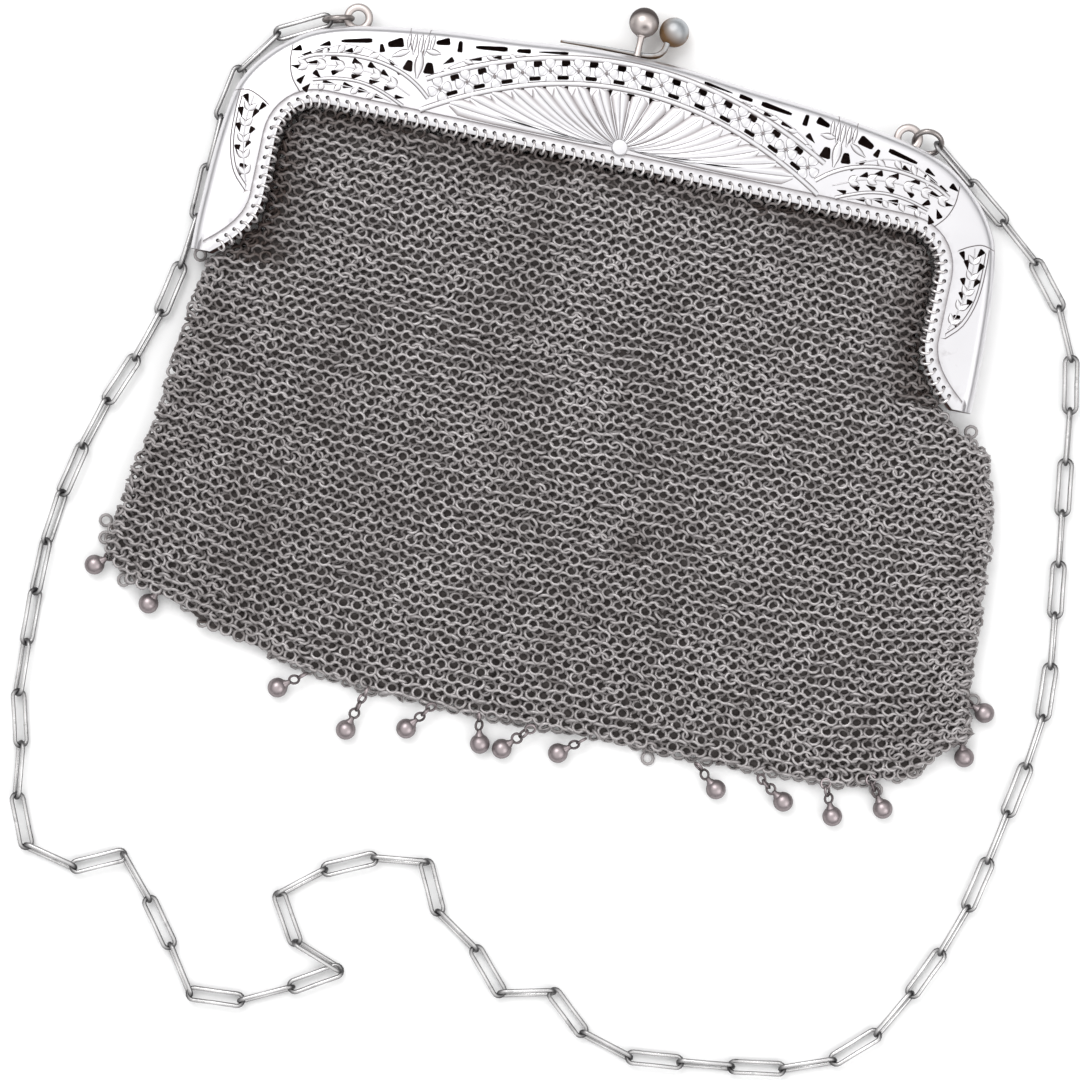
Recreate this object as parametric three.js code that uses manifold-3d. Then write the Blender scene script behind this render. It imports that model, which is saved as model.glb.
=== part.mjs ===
// Antique silver mesh purse, closed and lying on its back.
// Millimetres: +X runs to the right along the frame, +Y from the pouch to the clasp, +Z up.
import * as THREE from 'three';
import { mergeVertices } from 'three/addons/utils/BufferGeometryUtils.js';
import Module from 'manifold-3d';

const wasm = await Module();
wasm.setup();

// Frame: height is from the crest down to the feet
const FRAME_W = 159.2;
const FRAME_H = 55.8;
const FRAME_DEPTH = 9.2;
const SHEET = 1.1;
const FRONT_DOME_W = 2.2;
const FRONT_DOME_H = 2.2;
const BACK_SLOPE_W = 5;
const BACK_SLOPE_H = 4.2;
const CLEARANCE = 0.3;

// Opening of the frame that the mesh hangs in, between two legs
const LEG_W = 12;
const MOUTH_W = FRAME_W - 2 * LEG_W;
const MOUTH_DROP = 22.4;
const MOUTH_CORNER = 8;
const LEG_FLARE = 8;
const LEG_FLARE_H = 12.6;
const STRIP_W = 2.6;
const STRIP_STEP = 0.9;
const STRIP_LAP = 0.5;
const STRIP_EDGE_IN = 0.2;
const CUT_PAST = 10;

// Pierced ornament of the front
const RELIEF_H = 0.35;
const RAIL_W = 1.1;
const ARCH_HALF = 40;
const ARCH_TOP_DROP = 2;
const ARCH_TOP_FALL = 11;
const ARCH_LOW_DROP = 7.1;
const ARCH_LOW_FALL = 12.2;
const FLOWER_R = 1.7;
const FLOWER_PITCH = 5.75;
const SQUARE = 1.3;
const SQUARE_OFFSET = 1.2;
const RAY_HOLE_PITCH = 4.8;
const RAY_HOLE_DROP = 1.7;
const SUN_R = 1.7;
const SUN_DROP = 18.2;
const ARCH_END_SPACE = 0.5;
const ARCH_STEPS = 6;
const RAIL_STEPS = 8;
const WEDGE_REACH = 1.2;

// Eyes, jump rings, clasp and hinge pins
const EYE_R = 2.35;
const EYE_WIRE = 0.8;
const EYE_LEFT_ALONG = 0.2615;
const EYE_LEFT_BITE = 0.893;
const EYE_RIGHT_ALONG = 0.7375;
const EYE_RIGHT_BITE = 1.66;
const EYE_BELOW_SEAM = 0.65;
const JUMP_R = 2.75;
const JUMP_WIRE = 0.8;
const JUMP_LEFT_TURN = 195;
const JUMP_RIGHT_TILT = 42;
const BALL_R = 3;
const POST_AT = -0.4;
const POST_W = 1.2;
const POST_T = 1;
const POST_H = 4.6;
const POST_FOOT = 0.6;
const BALL_BITE = 0.7;
const SPRING_T = 0.7;
const SPRING_W = 2;
const SPRING_START = -16;
const SPRING_STEPS = 9;
const SPRING_DIP = 0.4;
const SPRING_BALL = new THREE.Vector2(5.9, 6.7);
const SPRING_BALL_LOW = 1;
const PIN_R = 1;
const PIN_L = 3.4;
const PIN_ABOVE_FOOT = 1.6;

// Pouch of ring mesh, which falls below the frame's feet
const BAG_W = 178;
const BAG_FALL = 80.2;
const BAG_DEPTH = 9;
const BAG_WALL = 1.1;
const BAG_AROUND = 20;
const BAG_LINING_AROUND = 12;
const BAG_ROUND_ACROSS = 0.75;
const BAG_ROUND_DEEP = 0.55;
const DROP_R = 2;
const DROP_NECK_R = 0.45;

// Chain
const LINK_PITCH = 10.4;
const LINK_W = 3.4;
const LINK_WIRE = 0.9;
const LINK_SIDES = 5;
const LINK_NIP = 0.095;
const ROUTE_STEPS = 4000;
const PITCH_SPREAD = 0.03;
const PITCH_STEP = 0.0005;

const SEAM_Z = FRAME_DEPTH / 2;
const MOUTH_Y = -MOUTH_DROP;
const FOOT_Y = -FRAME_H;
const FRONT_TOP = FRAME_DEPTH;
const MOUTH_H = FRAME_H - MOUTH_DROP;
const BAG_H = MOUTH_H + BAG_FALL;

// Outer edge of the frame from the crest to the foot, as shares of half its width and of its height
const OUTLINE = [
  { across: 0.13, down: 0.006 },
  { across: 0.3, down: 0.03 },
  { across: 0.5, down: 0.054 },
  { across: 0.7, down: 0.097 },
  { across: 0.804, down: 0.143 },
  { across: 0.867, down: 0.2 },
  { across: 0.915, down: 0.265 },
  { across: 0.955, down: 0.345 },
  { across: 0.977, down: 0.43 },
  { across: 0.992, down: 0.6 },
  { across: 1, down: 0.85 },
  { across: 1, down: 1 },
];

// Small piercings of one shoulder and leg: place as shares of half the width and of the height,
// size in millimetres, turn in degrees; a wedge has three corners, a slot and a square four
const PIERCINGS = [
  { across: 0.368, down: 0.076, long: 4.6, wide: 0.9, turn: -4, wedge: false },
  { across: 0.445, down: 0.091, long: 1.8, wide: 1.3, turn: 20, wedge: false },
  { across: 0.402, down: 0.135, long: 2.4, wide: 1.3, turn: -20, wedge: true },
  { across: 0.513, down: 0.195, long: 2, wide: 1.4, turn: 60, wedge: true },
  { across: 0.598, down: 0.13, long: 2, wide: 1.4, turn: 20, wedge: true },
  { across: 0.7, down: 0.154, long: 4.6, wide: 0.9, turn: -6, wedge: false },
  { across: 0.704, down: 0.194, long: 1.8, wide: 1.4, turn: 0, wedge: true },
  { across: 0.769, down: 0.187, long: 2, wide: 1.3, turn: -30, wedge: false },
  { across: 0.839, down: 0.226, long: 2, wide: 1.4, turn: 40, wedge: true },
  { across: 0.791, down: 0.255, long: 1.8, wide: 1.6, turn: 60, wedge: true },
  { across: 0.683, down: 0.226, long: 1.8, wide: 1.6, turn: 95, wedge: true },
  { across: 0.774, down: 0.301, long: 1.8, wide: 1.6, turn: 70, wedge: true },
  { across: 0.69, down: 0.287, long: 1.8, wide: 1.6, turn: 95, wedge: true },
  { across: 0.598, down: 0.301, long: 1.8, wide: 1.6, turn: 110, wedge: true },
  { across: 0.935, down: 0.427, long: 1.8, wide: 1.5, turn: 0, wedge: true },
  { across: 0.897, down: 0.444, long: 1.8, wide: 1.5, turn: 60, wedge: true },
  { across: 0.945, down: 0.48, long: 1.8, wide: 1.5, turn: 90, wedge: true },
  { across: 0.942, down: 0.541, long: 1.8, wide: 1.5, turn: 90, wedge: true },
  { across: 0.908, down: 0.565, long: 1.8, wide: 1.5, turn: -90, wedge: true },
  { across: 0.935, down: 0.62, long: 1.8, wide: 1.5, turn: 90, wedge: true },
  { across: 0.915, down: 0.68, long: 2, wide: 1.3, turn: 80, wedge: true },
];

// Pouch below the feet, from the top down: shares of its fall, of half its width to the left and
// right, and of its depth
const BAG_ROWS = [
  { down: 0.027, left: 0.858, right: 0.87, deep: 0.84 },
  { down: 0.093, left: 0.872, right: 0.965, deep: 0.88 },
  { down: 0.242, left: 0.885, right: 1.006, deep: 0.97 },
  { down: 0.442, left: 0.904, right: 1.022, deep: 1 },
  { down: 0.691, left: 0.943, right: 1.028, deep: 0.92 },
  { down: 0.79, left: 0.948, right: 1.049, deep: 0.82 },
  { down: 0.844, left: 0.895, right: 1, deep: 0.72 },
  { down: 0.863, left: 0.79, right: 0.985, deep: 0.68 },
  { down: 0.911, left: 0.7, right: 0.944, deep: 0.6 },
  { down: 0.945, left: 0.56, right: 0.87, deep: 0.52 },
  { down: 0.983, left: 0.45, right: 0.765, deep: 0.42 },
  { down: 1, left: 0.3, right: 0.6, deep: 0.34 },
];
// Rows of the pouch inside the frame's opening, as shares of its height
const BAG_MOUTH_ROWS = [0, 0.068, 0.238, 0.629, 0.833, 0.986];
const BAG_MOUTH_DEEP = 0.82;

// Long soft folds of the front wall: place and width as shares of half the width, height of the depth
const FOLDS = [
  { across: -0.78, width: 0.13, height: 0.07 },
  { across: -0.35, width: 0.16, height: -0.05 },
  { across: 0.12, width: 0.2, height: 0.05 },
  { across: 0.5, width: 0.14, height: -0.06 },
  { across: 0.82, width: 0.12, height: 0.07 },
];

// Ball drops: place as a share of the pouch's edge from the left foot round to the right one,
// swing in degrees from straight down, reach from the edge to the ball's middle in millimetres
const DROPS = [
  { along: 0.2, swing: -50, reach: 2.9 },
  { along: 0.24, swing: -26, reach: 2.9 },
  { along: 0.348, swing: -52, reach: 6 },
  { along: 0.388, swing: -16, reach: 8.2 },
  { along: 0.431, swing: -37, reach: 6.3 },
  { along: 0.464, swing: 14, reach: 5.1 },
  { along: 0.496, swing: -43, reach: 6.8 },
  { along: 0.53, swing: -50, reach: 5.4 },
  { along: 0.606, swing: 49, reach: 6.1 },
  { along: 0.647, swing: 56, reach: 6.6 },
  { along: 0.689, swing: 24, reach: 6.4 },
  { along: 0.718, swing: 35, reach: 5.9 },
  { along: 0.783, swing: 21, reach: 3.2 },
  { along: 0.809, swing: 71, reach: 3.6 },
];

// Route of the chain on the table, from beside the right jump ring round to the left one
const CHAIN_ROUTE = [
  [72.8, -12.4], [81.4, -19], [89, -25.8], [94.6, -34], [98.2, -43.6], [101.2, -64.6],
  [104.2, -86], [106.8, -107.4], [106.2, -118.4], [104.6, -128.8], [100.6, -150.2], [97.6, -160.4],
  [88.6, -179.6], [80.8, -187.8], [71.8, -191.8], [50.8, -195], [36.2, -196], [27.2, -191.6],
  [22.4, -186.6], [12.4, -189.2], [5.6, -181.8], [-3.6, -175.8], [-7.4, -166.8], [-18.2, -167.6],
  [-35.4, -177.8], [-30.2, -187.8], [-20.4, -191.6], [-30.8, -197.2], [-40.2, -201.6],
  [-51, -201.2], [-56, -191.8], [-71, -175.2], [-77.6, -182.2], [-87, -180], [-92.6, -174],
  [-88.8, -164.4], [-94.4, -156.8], [-96, -135.6], [-95.8, -114.6], [-91.4, -93.2],
  [-84, -72.6], [-80.4, -52.4], [-79.8, -32.2], [-78.4, -20.4], [-73.2, -11.2],
];
const CHAIN_TWISTS = [
  { along: 0, turn: 118 },
  { along: 0.1, turn: 102 },
  { along: 0.35, turn: 118 },
  { along: 0.6, turn: 104 },
  { along: 0.75, turn: 120 },
  { along: 0.9, turn: 175 },
  { along: 1, turn: 198 },
];

// Bend of the spring strip up to its ball, as shares of the ball's place
const SPRING_BEND = [
  { across: 0, up: 0.015 },
  { across: 0.6, up: 0.075 },
  { across: 0.85, up: 0.27 },
];

const silver = new THREE.MeshStandardMaterial({ color: 0xc9c6c2, roughness: 0.28, metalness: 1 });
const darkSilver = new THREE.MeshStandardMaterial({ color: 0x77706d, roughness: 0.4, metalness: 1 });
const meshSilver = new THREE.MeshStandardMaterial({ color: 0x6b6461, roughness: 0.5, metalness: 1 });

function solidOf(geometry) {
  const bare = geometry.clone();
  bare.deleteAttribute('normal');
  bare.deleteAttribute('uv');
  const merged = mergeVertices(bare, 1e-4);
  return new wasm.Manifold(new wasm.Mesh({
    numProp: 3,
    vertProperties: new Float32Array(merged.attributes.position.array),
    triVerts: new Uint32Array(merged.index.array),
  }));
}

function geometryOf(solid) {
  const mesh = solid.getMesh();
  const geometry = new THREE.BufferGeometry();
  geometry.setAttribute('position', new THREE.BufferAttribute(mesh.vertProperties, 3));
  geometry.setIndex(new THREE.BufferAttribute(mesh.triVerts, 1));
  return geometry;
}

function pieceOf(name, geometry, material) {
  const piece = new THREE.Mesh(geometry, material.clone());
  piece.name = name;
  return piece;
}

function fuse(solids) {
  return solids.reduce((whole, next) => whole.add(next));
}

function slab(points, bottom, top) {
  const geometry = new THREE.ExtrudeGeometry(new THREE.Shape(points), {
    depth: top - bottom,
    bevelEnabled: false,
  });
  return solidOf(geometry.translate(0, 0, bottom));
}

function mirrored(points) {
  return points.map((p) => new THREE.Vector2(-p.x, p.y)).reverse();
}

// Outer edge of the closed frame from the left foot over the crest to the right foot
function frameCurve() {
  const right = OUTLINE.map((p) => new THREE.Vector2(p.across * FRAME_W / 2, -p.down * FRAME_H));
  return new THREE.SplineCurve([...mirrored(right), new THREE.Vector2(0, 0), ...right]);
}

// The same edge carried below the feet, so that the dome doesn't end there
function frameOutline(steps) {
  const spare = FRAME_H / 4;
  return [
    new THREE.Vector2(-FRAME_W / 2, FOOT_Y - spare),
    ...frameCurve().getSpacedPoints(steps),
    new THREE.Vector2(FRAME_W / 2, FOOT_Y - spare),
  ].reverse();
}

function pillow(inset, halfDepth, domeW, domeH, segments, steps) {
  const wall = halfDepth - domeH;
  const geometry = new THREE.ExtrudeGeometry(new THREE.Shape(frameOutline(steps)), {
    depth: 2 * wall,
    bevelEnabled: true,
    bevelThickness: domeH,
    bevelSize: domeW,
    bevelOffset: -domeW - inset,
    bevelSegments: segments,
  });
  return solidOf(geometry.translate(0, 0, SEAM_Z - wall));
}

// Half the width of the opening between the legs at a height
function mouthHalf(y) {
  const below = Math.max(MOUTH_Y - y, 0);
  const flare = Math.max((FOOT_Y + LEG_FLARE_H - y) / LEG_FLARE_H, 0);
  const straight = MOUTH_W / 2 + LEG_FLARE * flare ** 2;
  if (below >= MOUTH_CORNER) return straight;
  return straight - MOUTH_CORNER + Math.sqrt(MOUTH_CORNER ** 2 - (MOUTH_CORNER - below) ** 2);
}

// Edge of the opening from the left foot over the top to the right foot, drawn in by an inset
function mouthEdge(inset, footY) {
  const heights = [0, 0.08, 0.35, 1].map((share) => MOUTH_Y - share * MOUTH_CORNER);
  heights.push(FOOT_Y + LEG_FLARE_H);
  for (let i = 1; i <= 3; i += 1) heights.push(FOOT_Y + LEG_FLARE_H * (1 - i / 3));
  const kept = heights.filter((y) => y >= footY - 1e-6);
  const right = kept.map((y) => {
    const drawn = y >= MOUTH_Y - MOUTH_CORNER ? inset * (y - MOUTH_Y + MOUTH_CORNER) / MOUTH_CORNER : 0;
    return new THREE.Vector2(mouthHalf(y) - inset, y - drawn);
  });
  return [...mirrored(right), ...right];
}

// Plan of one half: everything above the feet and outside the opening
function framePlan(inset, footY) {
  const side = FRAME_W / 2 + CUT_PAST;
  return [
    new THREE.Vector2(-side, CUT_PAST),
    new THREE.Vector2(-side, footY),
    ...mouthEdge(inset, footY),
    new THREE.Vector2(side, footY),
    new THREE.Vector2(side, CUT_PAST),
  ];
}

function archY(x, topDrop, fall) {
  return -topDrop - fall * (x / ARCH_HALF) ** 2;
}

function archCurve(topDrop, fall) {
  const points = [];
  for (let i = -ARCH_STEPS; i <= ARCH_STEPS; i += 1) {
    const x = ARCH_HALF * i / ARCH_STEPS;
    points.push(new THREE.Vector2(x, archY(x, topDrop, fall)));
  }
  return new THREE.SplineCurve(points);
}

// Places at an even pitch to both sides of a curve's middle, moved off it by an offset
function placesAlong(curve, pitch, shift, offset) {
  const length = curve.getLength();
  const places = [];
  const count = Math.floor((length / 2 - pitch * shift) / pitch);
  for (let i = -count - 1; i <= count; i += 1) {
    const s = length / 2 + (i + shift) * pitch;
    if (s < ARCH_END_SPACE || s > length - ARCH_END_SPACE) continue;
    const point = curve.getPointAt(s / length);
    const along = curve.getTangentAt(s / length);
    places.push({
      x: point.x - along.y * offset,
      y: point.y + along.x * offset,
      turn: Math.atan2(along.y, along.x),
    });
  }
  return places;
}

function corners(place, long, wide, count) {
  const points = [];
  for (let i = 0; i < count; i += 1) {
    const angle = (2 * Math.PI * (i + (count === 4 ? 0.5 : 0))) / count;
    const reach = count === 4 ? Math.SQRT2 : WEDGE_REACH;
    const x = reach * Math.cos(angle) * long / 2;
    const y = reach * Math.sin(angle) * wide / 2;
    points.push(new THREE.Vector2(
      place.x + x * Math.cos(place.turn) - y * Math.sin(place.turn),
      place.y + x * Math.sin(place.turn) + y * Math.cos(place.turn),
    ));
  }
  return points;
}

function flowerArch() {
  return archCurve((ARCH_TOP_DROP + ARCH_LOW_DROP) / 2, (ARCH_TOP_FALL + ARCH_LOW_FALL) / 2);
}

function piercings() {
  const through = (points) => slab(points, SEAM_Z, FRONT_TOP + 1);
  const middle = flowerArch();
  const squares = [SQUARE_OFFSET, -SQUARE_OFFSET].flatMap((offset) => {
    return placesAlong(middle, FLOWER_PITCH, 0.5, offset);
  });
  const rays = placesAlong(archCurve(ARCH_LOW_DROP, ARCH_LOW_FALL), RAY_HOLE_PITCH, 0, -RAY_HOLE_DROP);
  const cuts = [
    ...squares.map((place) => through(corners(place, SQUARE, SQUARE, 4))),
    ...rays.map((place) => through(corners({ ...place, turn: place.turn + Math.PI / 2 }, SQUARE, SQUARE, 3))),
  ];
  for (const hole of PIERCINGS) {
    for (const side of [1, -1]) {
      const turn = THREE.MathUtils.degToRad(side > 0 ? hole.turn : 180 - hole.turn);
      const place = { x: side * hole.across * FRAME_W / 2, y: -hole.down * FRAME_H, turn };
      cuts.push(through(corners(place, hole.long, hole.wide, hole.wedge ? 3 : 4)));
    }
  }
  return fuse(cuts);
}

function rail(topDrop, fall) {
  const curve = archCurve(topDrop, fall);
  const upper = curve.getSpacedPoints(RAIL_STEPS).map((p) => new THREE.Vector2(p.x, p.y + RAIL_W / 2));
  const lower = curve.getSpacedPoints(RAIL_STEPS).map((p) => new THREE.Vector2(p.x, p.y - RAIL_W / 2));
  return slab([...lower, ...upper.reverse()], FRONT_TOP - RELIEF_H, FRONT_TOP + RELIEF_H);
}

function relief() {
  const raised = (points) => slab(points, FRONT_TOP - RELIEF_H, FRONT_TOP + RELIEF_H);
  const flowers = placesAlong(flowerArch(), FLOWER_PITCH, 0, 0);
  const petals = 2 * FLOWER_R / WEDGE_REACH;
  return fuse([
    rail(ARCH_TOP_DROP, ARCH_TOP_FALL),
    rail(ARCH_LOW_DROP, ARCH_LOW_FALL),
    ...flowers.map((place) => raised(corners(place, petals, petals, 6))),
    raised(corners({ x: 0, y: -SUN_DROP, turn: 0 }, 2 * SUN_R, 2 * SUN_R, 10)),
  ]);
}

function frameShell(domeW, domeH, segments, steps) {
  const half = FRAME_DEPTH / 2;
  const lowH = Math.min(domeH, half - SHEET - CLEARANCE);
  const outer = pillow(0, half, domeW, domeH, segments, steps);
  const inner = pillow(SHEET, half - SHEET, domeW, lowH, 1, steps / 2);
  return outer.subtract(inner);
}

function pinHoles() {
  const length = FRAME_W + 2 * CUT_PAST;
  const hole = new THREE.CylinderGeometry(PIN_R + CLEARANCE, PIN_R + CLEARANCE, length, 10);
  return solidOf(hole.rotateZ(Math.PI / 2).translate(0, FOOT_Y + PIN_ABOVE_FOOT, SEAM_Z));
}

function frameFront() {
  const stripFoot = FOOT_Y + LEG_FLARE_H;
  const lapped = STRIP_W + STRIP_LAP;
  const strip = [
    ...mouthEdge(0, stripFoot),
    ...mouthEdge(-lapped, stripFoot).reverse(),
  ];
  const step = [
    ...mouthEdge(STRIP_EDGE_IN, stripFoot),
    ...mouthEdge(-STRIP_W, stripFoot).reverse(),
  ];
  const shell = frameShell(FRONT_DOME_W, FRONT_DOME_H, 2, 32)
    .intersect(slab(framePlan(0, FOOT_Y), SEAM_Z + CLEARANCE / 2, FRONT_TOP + 1))
    .add(relief())
    .subtract(slab(step, SEAM_Z, FRONT_TOP + 1))
    .subtract(pinHoles())
    .subtract(piercings());
  const low = slab(strip, FRONT_TOP - STRIP_STEP - SHEET, FRONT_TOP - STRIP_STEP);
  return shell.add(low);
}

// Middle of an eye that bites into the frame's edge at a share of the edge's length
function eyeCentre(along, bite) {
  const edge = frameCurve().getPointAt(along);
  const run = frameCurve().getTangentAt(along);
  const away = EYE_R + EYE_WIRE / 2 - bite;
  return new THREE.Vector2(edge.x - run.y * away, edge.y + run.x * away);
}

function eye(place) {
  const ring = new THREE.TorusGeometry(EYE_R, EYE_WIRE / 2, 5, 12);
  return solidOf(ring.translate(place.x, place.y, SEAM_Z - EYE_BELOW_SEAM));
}

function frameBack() {
  const shell = frameShell(BACK_SLOPE_W, BACK_SLOPE_H, 1, 24)
    .intersect(slab(framePlan(0, FOOT_Y), -1, SEAM_Z - CLEARANCE / 2))
    .subtract(pinHoles());
  return fuse([
    shell,
    eye(eyeCentre(EYE_LEFT_ALONG, EYE_LEFT_BITE)),
    eye(eyeCentre(EYE_RIGHT_ALONG, EYE_RIGHT_BITE)),
  ]);
}

function hingePin(side) {
  const pin = new THREE.CylinderGeometry(PIN_R, PIN_R, PIN_L, 12).rotateZ(Math.PI / 2);
  const x = side * (FRAME_W / 2 - PIN_L / 2);
  return pin.translate(x, FOOT_Y + PIN_ABOVE_FOOT, SEAM_Z);
}

function ball(radius, x, y, z, around, rows) {
  return solidOf(new THREE.SphereGeometry(radius, around, rows).translate(x, y, z));
}

function claspPostBall() {
  const z = SEAM_Z + CLEARANCE + POST_T / 2;
  const post = new THREE.BoxGeometry(POST_W, POST_H, POST_T);
  const foot = new THREE.BoxGeometry(2 * POST_W, POST_FOOT, 2 * POST_T);
  const ballY = CLEARANCE + POST_H + BALL_R - BALL_BITE;
  return fuse([
    solidOf(post.translate(POST_AT, CLEARANCE + POST_H / 2, z)),
    solidOf(foot.translate(POST_AT, CLEARANCE + POST_FOOT / 2, z + POST_T / 2)),
    ball(BALL_R, POST_AT, ballY, SEAM_Z + CLEARANCE, 12, 6),
  ]);
}

// Thin strip along the crest that bends up in a J to its ball
function claspSpringBall() {
  const lift = CLEARANCE + SPRING_T / 2;
  const path = new THREE.CatmullRomCurve3([
    new THREE.Vector3(SPRING_START, lift - SPRING_DIP, 0),
    new THREE.Vector3(SPRING_START / 2, lift, 0),
    ...SPRING_BEND.map(({ across, up }) => {
      return new THREE.Vector3(SPRING_BALL.x * across, lift + SPRING_BALL.y * up, 0);
    }),
    new THREE.Vector3(SPRING_BALL.x, SPRING_BALL.y - BALL_R + BALL_BITE, 0),
  ]);
  const edge = path.getSpacedPoints(SPRING_STEPS);
  const side = (sign) => edge.map((p, i) => {
    const t = path.getTangentAt(i / SPRING_STEPS);
    return new THREE.Vector2(p.x - sign * t.y * SPRING_T / 2, p.y + sign * t.x * SPRING_T / 2);
  });
  const z = SEAM_Z - CLEARANCE / 2;
  return fuse([
    slab([...side(-1), ...side(1).reverse()], z - SPRING_W, z),
    ball(BALL_R, SPRING_BALL.x, SPRING_BALL.y, z - SPRING_BALL_LOW, 12, 6),
  ]);
}

function jumpRing(x, y, tilt, turn) {
  const ring = new THREE.TorusGeometry(JUMP_R, JUMP_WIRE / 2, 5, 12);
  ring.rotateX(THREE.MathUtils.degToRad(tilt)).rotateZ(THREE.MathUtils.degToRad(turn));
  return ring.translate(x, y, SEAM_Z - EYE_BELOW_SEAM);
}

function jumpCentres() {
  const reach = JUMP_R + EYE_R - (JUMP_WIRE + EYE_WIRE) / 2 - CLEARANCE;
  const away = THREE.MathUtils.degToRad(JUMP_LEFT_TURN);
  const left = eyeCentre(EYE_LEFT_ALONG, EYE_LEFT_BITE);
  const right = eyeCentre(EYE_RIGHT_ALONG, EYE_RIGHT_BITE);
  return {
    right: new THREE.Vector2(right.x + reach, right.y),
    left: new THREE.Vector2(left.x + reach * Math.cos(away), left.y + reach * Math.sin(away)),
  };
}

// All rows of the pouch with its real places: the mouth inside the frame, then the table below
function bagRows() {
  const gap = 2 * CLEARANCE;
  const top = MOUTH_Y - gap;
  const mouth = BAG_MOUTH_ROWS.map((down) => {
    const y = top - down * MOUTH_H;
    const half = mouthHalf(Math.min(y + gap, MOUTH_Y - CLEARANCE)) - gap;
    return { y, left: half, right: half, half: BAG_MOUTH_DEEP * BAG_DEPTH / 2, mid: SEAM_Z };
  });
  const settle = BAG_ROWS[2].down;
  const below = BAG_ROWS.map((row) => {
    const half = row.deep * BAG_DEPTH / 2;
    const raised = Math.max(0, 1 - (row.down - BAG_ROWS[0].down) / (settle - BAG_ROWS[0].down));
    return {
      y: FOOT_Y - row.down * BAG_FALL,
      left: row.left * BAG_W / 2,
      right: row.right * BAG_W / 2,
      half,
      mid: half + raised * (SEAM_Z - half),
    };
  });
  return [...mouth, ...below];
}

function foldHeight(x, down) {
  const share = 2 * x / BAG_W;
  const fade = Math.sin(Math.PI * Math.min(Math.max(down, 0), 1));
  return FOLDS.reduce((sum, fold) => {
    return sum + fold.height * BAG_DEPTH * fade * Math.exp(-(((share - fold.across) / fold.width) ** 2));
  }, 0);
}

// One section of the pouch: a flattened round, closed, with the folds on its upper side
function bagSection(row, around, wall) {
  const centre = (row.right - row.left) / 2;
  const halfW = (row.right + row.left) / 2 - wall;
  const halfT = row.half - wall;
  const ring = [];
  for (let i = 0; i < around; i += 1) {
    const angle = (2 * Math.PI * i) / around;
    const c = Math.cos(angle);
    const s = Math.sin(angle);
    const x = centre + halfW * Math.sign(c) * Math.abs(c) ** BAG_ROUND_ACROSS;
    let z = row.mid + halfT * Math.sign(s) * Math.abs(s) ** BAG_ROUND_DEEP;
    if (s > 0.1) z += foldHeight(x, (MOUTH_Y - row.y) / BAG_H);
    ring.push(new THREE.Vector3(x, row.y, z));
  }
  return ring;
}

// Closed loft through rings of equal count, with a fan over each end
function loft(rings) {
  const around = rings[0].length;
  const points = rings.flat();
  const faces = [];
  for (let r = 0; r + 1 < rings.length; r += 1) {
    for (let i = 0; i < around; i += 1) {
      const a = r * around + i;
      const b = r * around + (i + 1) % around;
      faces.push(a, b, a + around, b, b + around, a + around);
    }
  }
  for (const [r, flip] of [[0, false], [rings.length - 1, true]]) {
    const middle = new THREE.Vector3();
    for (const point of rings[r]) middle.addScaledVector(point, 1 / around);
    points.push(middle);
    for (let i = 0; i < around; i += 1) {
      const a = r * around + i;
      const b = r * around + (i + 1) % around;
      faces.push(...(flip ? [a, b, points.length - 1] : [b, a, points.length - 1]));
    }
  }
  const geometry = new THREE.BufferGeometry().setFromPoints(points);
  geometry.setIndex(faces);
  return new wasm.Manifold(new wasm.Mesh({
    numProp: 3,
    vertProperties: new Float32Array(geometry.attributes.position.array),
    triVerts: new Uint32Array(faces),
  }));
}

function meshBag() {
  const rows = bagRows();
  const outer = loft(rows.map((row) => bagSection(row, BAG_AROUND, 0)));
  const mouth = { ...rows[0], y: rows[0].y + 2 * BAG_WALL };
  const lining = [mouth, ...rows.slice(2, -2).filter((row, i) => i % 2 === 0)];
  const inner = loft(lining.map((row) => bagSection(row, BAG_LINING_AROUND, BAG_WALL)));
  return outer.subtract(inner);
}

// Edge of the pouch in plan from the left foot round the bottom to the right foot
function bagEdge() {
  const rows = bagRows().slice(BAG_MOUTH_ROWS.length);
  const left = rows.map((row) => new THREE.Vector3(-row.left, row.y, row.mid));
  const right = rows.map((row) => new THREE.Vector3(row.right, row.y, row.mid)).reverse();
  const path = new THREE.CurvePath();
  const points = [...left, ...right];
  for (let i = 0; i + 1 < points.length; i += 1) {
    path.add(new THREE.LineCurve3(points[i], points[i + 1]));
  }
  return path;
}

function drop(place, edge) {
  const start = edge.getPointAt(place.along);
  const swing = THREE.MathUtils.degToRad(place.swing);
  const middle = new THREE.Vector3(
    start.x + place.reach * Math.sin(swing),
    start.y - place.reach * Math.cos(swing),
    DROP_R,
  );
  const towards = start.clone().sub(middle);
  const neckL = towards.length() - CLEARANCE - DROP_NECK_R / 2;
  const rows = [-90, -40, 10, 60].map((degrees) => {
    const angle = THREE.MathUtils.degToRad(degrees);
    return new THREE.Vector2(DROP_R * Math.cos(angle), DROP_R * Math.sin(angle));
  });
  const profile = [...rows, new THREE.Vector2(DROP_NECK_R, neckL), new THREE.Vector2(0, neckL)];
  profile[0].x = 0;
  const shape = new THREE.LatheGeometry(profile, 10);
  const turn = new THREE.Quaternion().setFromUnitVectors(new THREE.Vector3(0, 1, 0), towards.normalize());
  return shape.applyQuaternion(turn).translate(middle.x, middle.y, middle.z);
}

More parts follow.
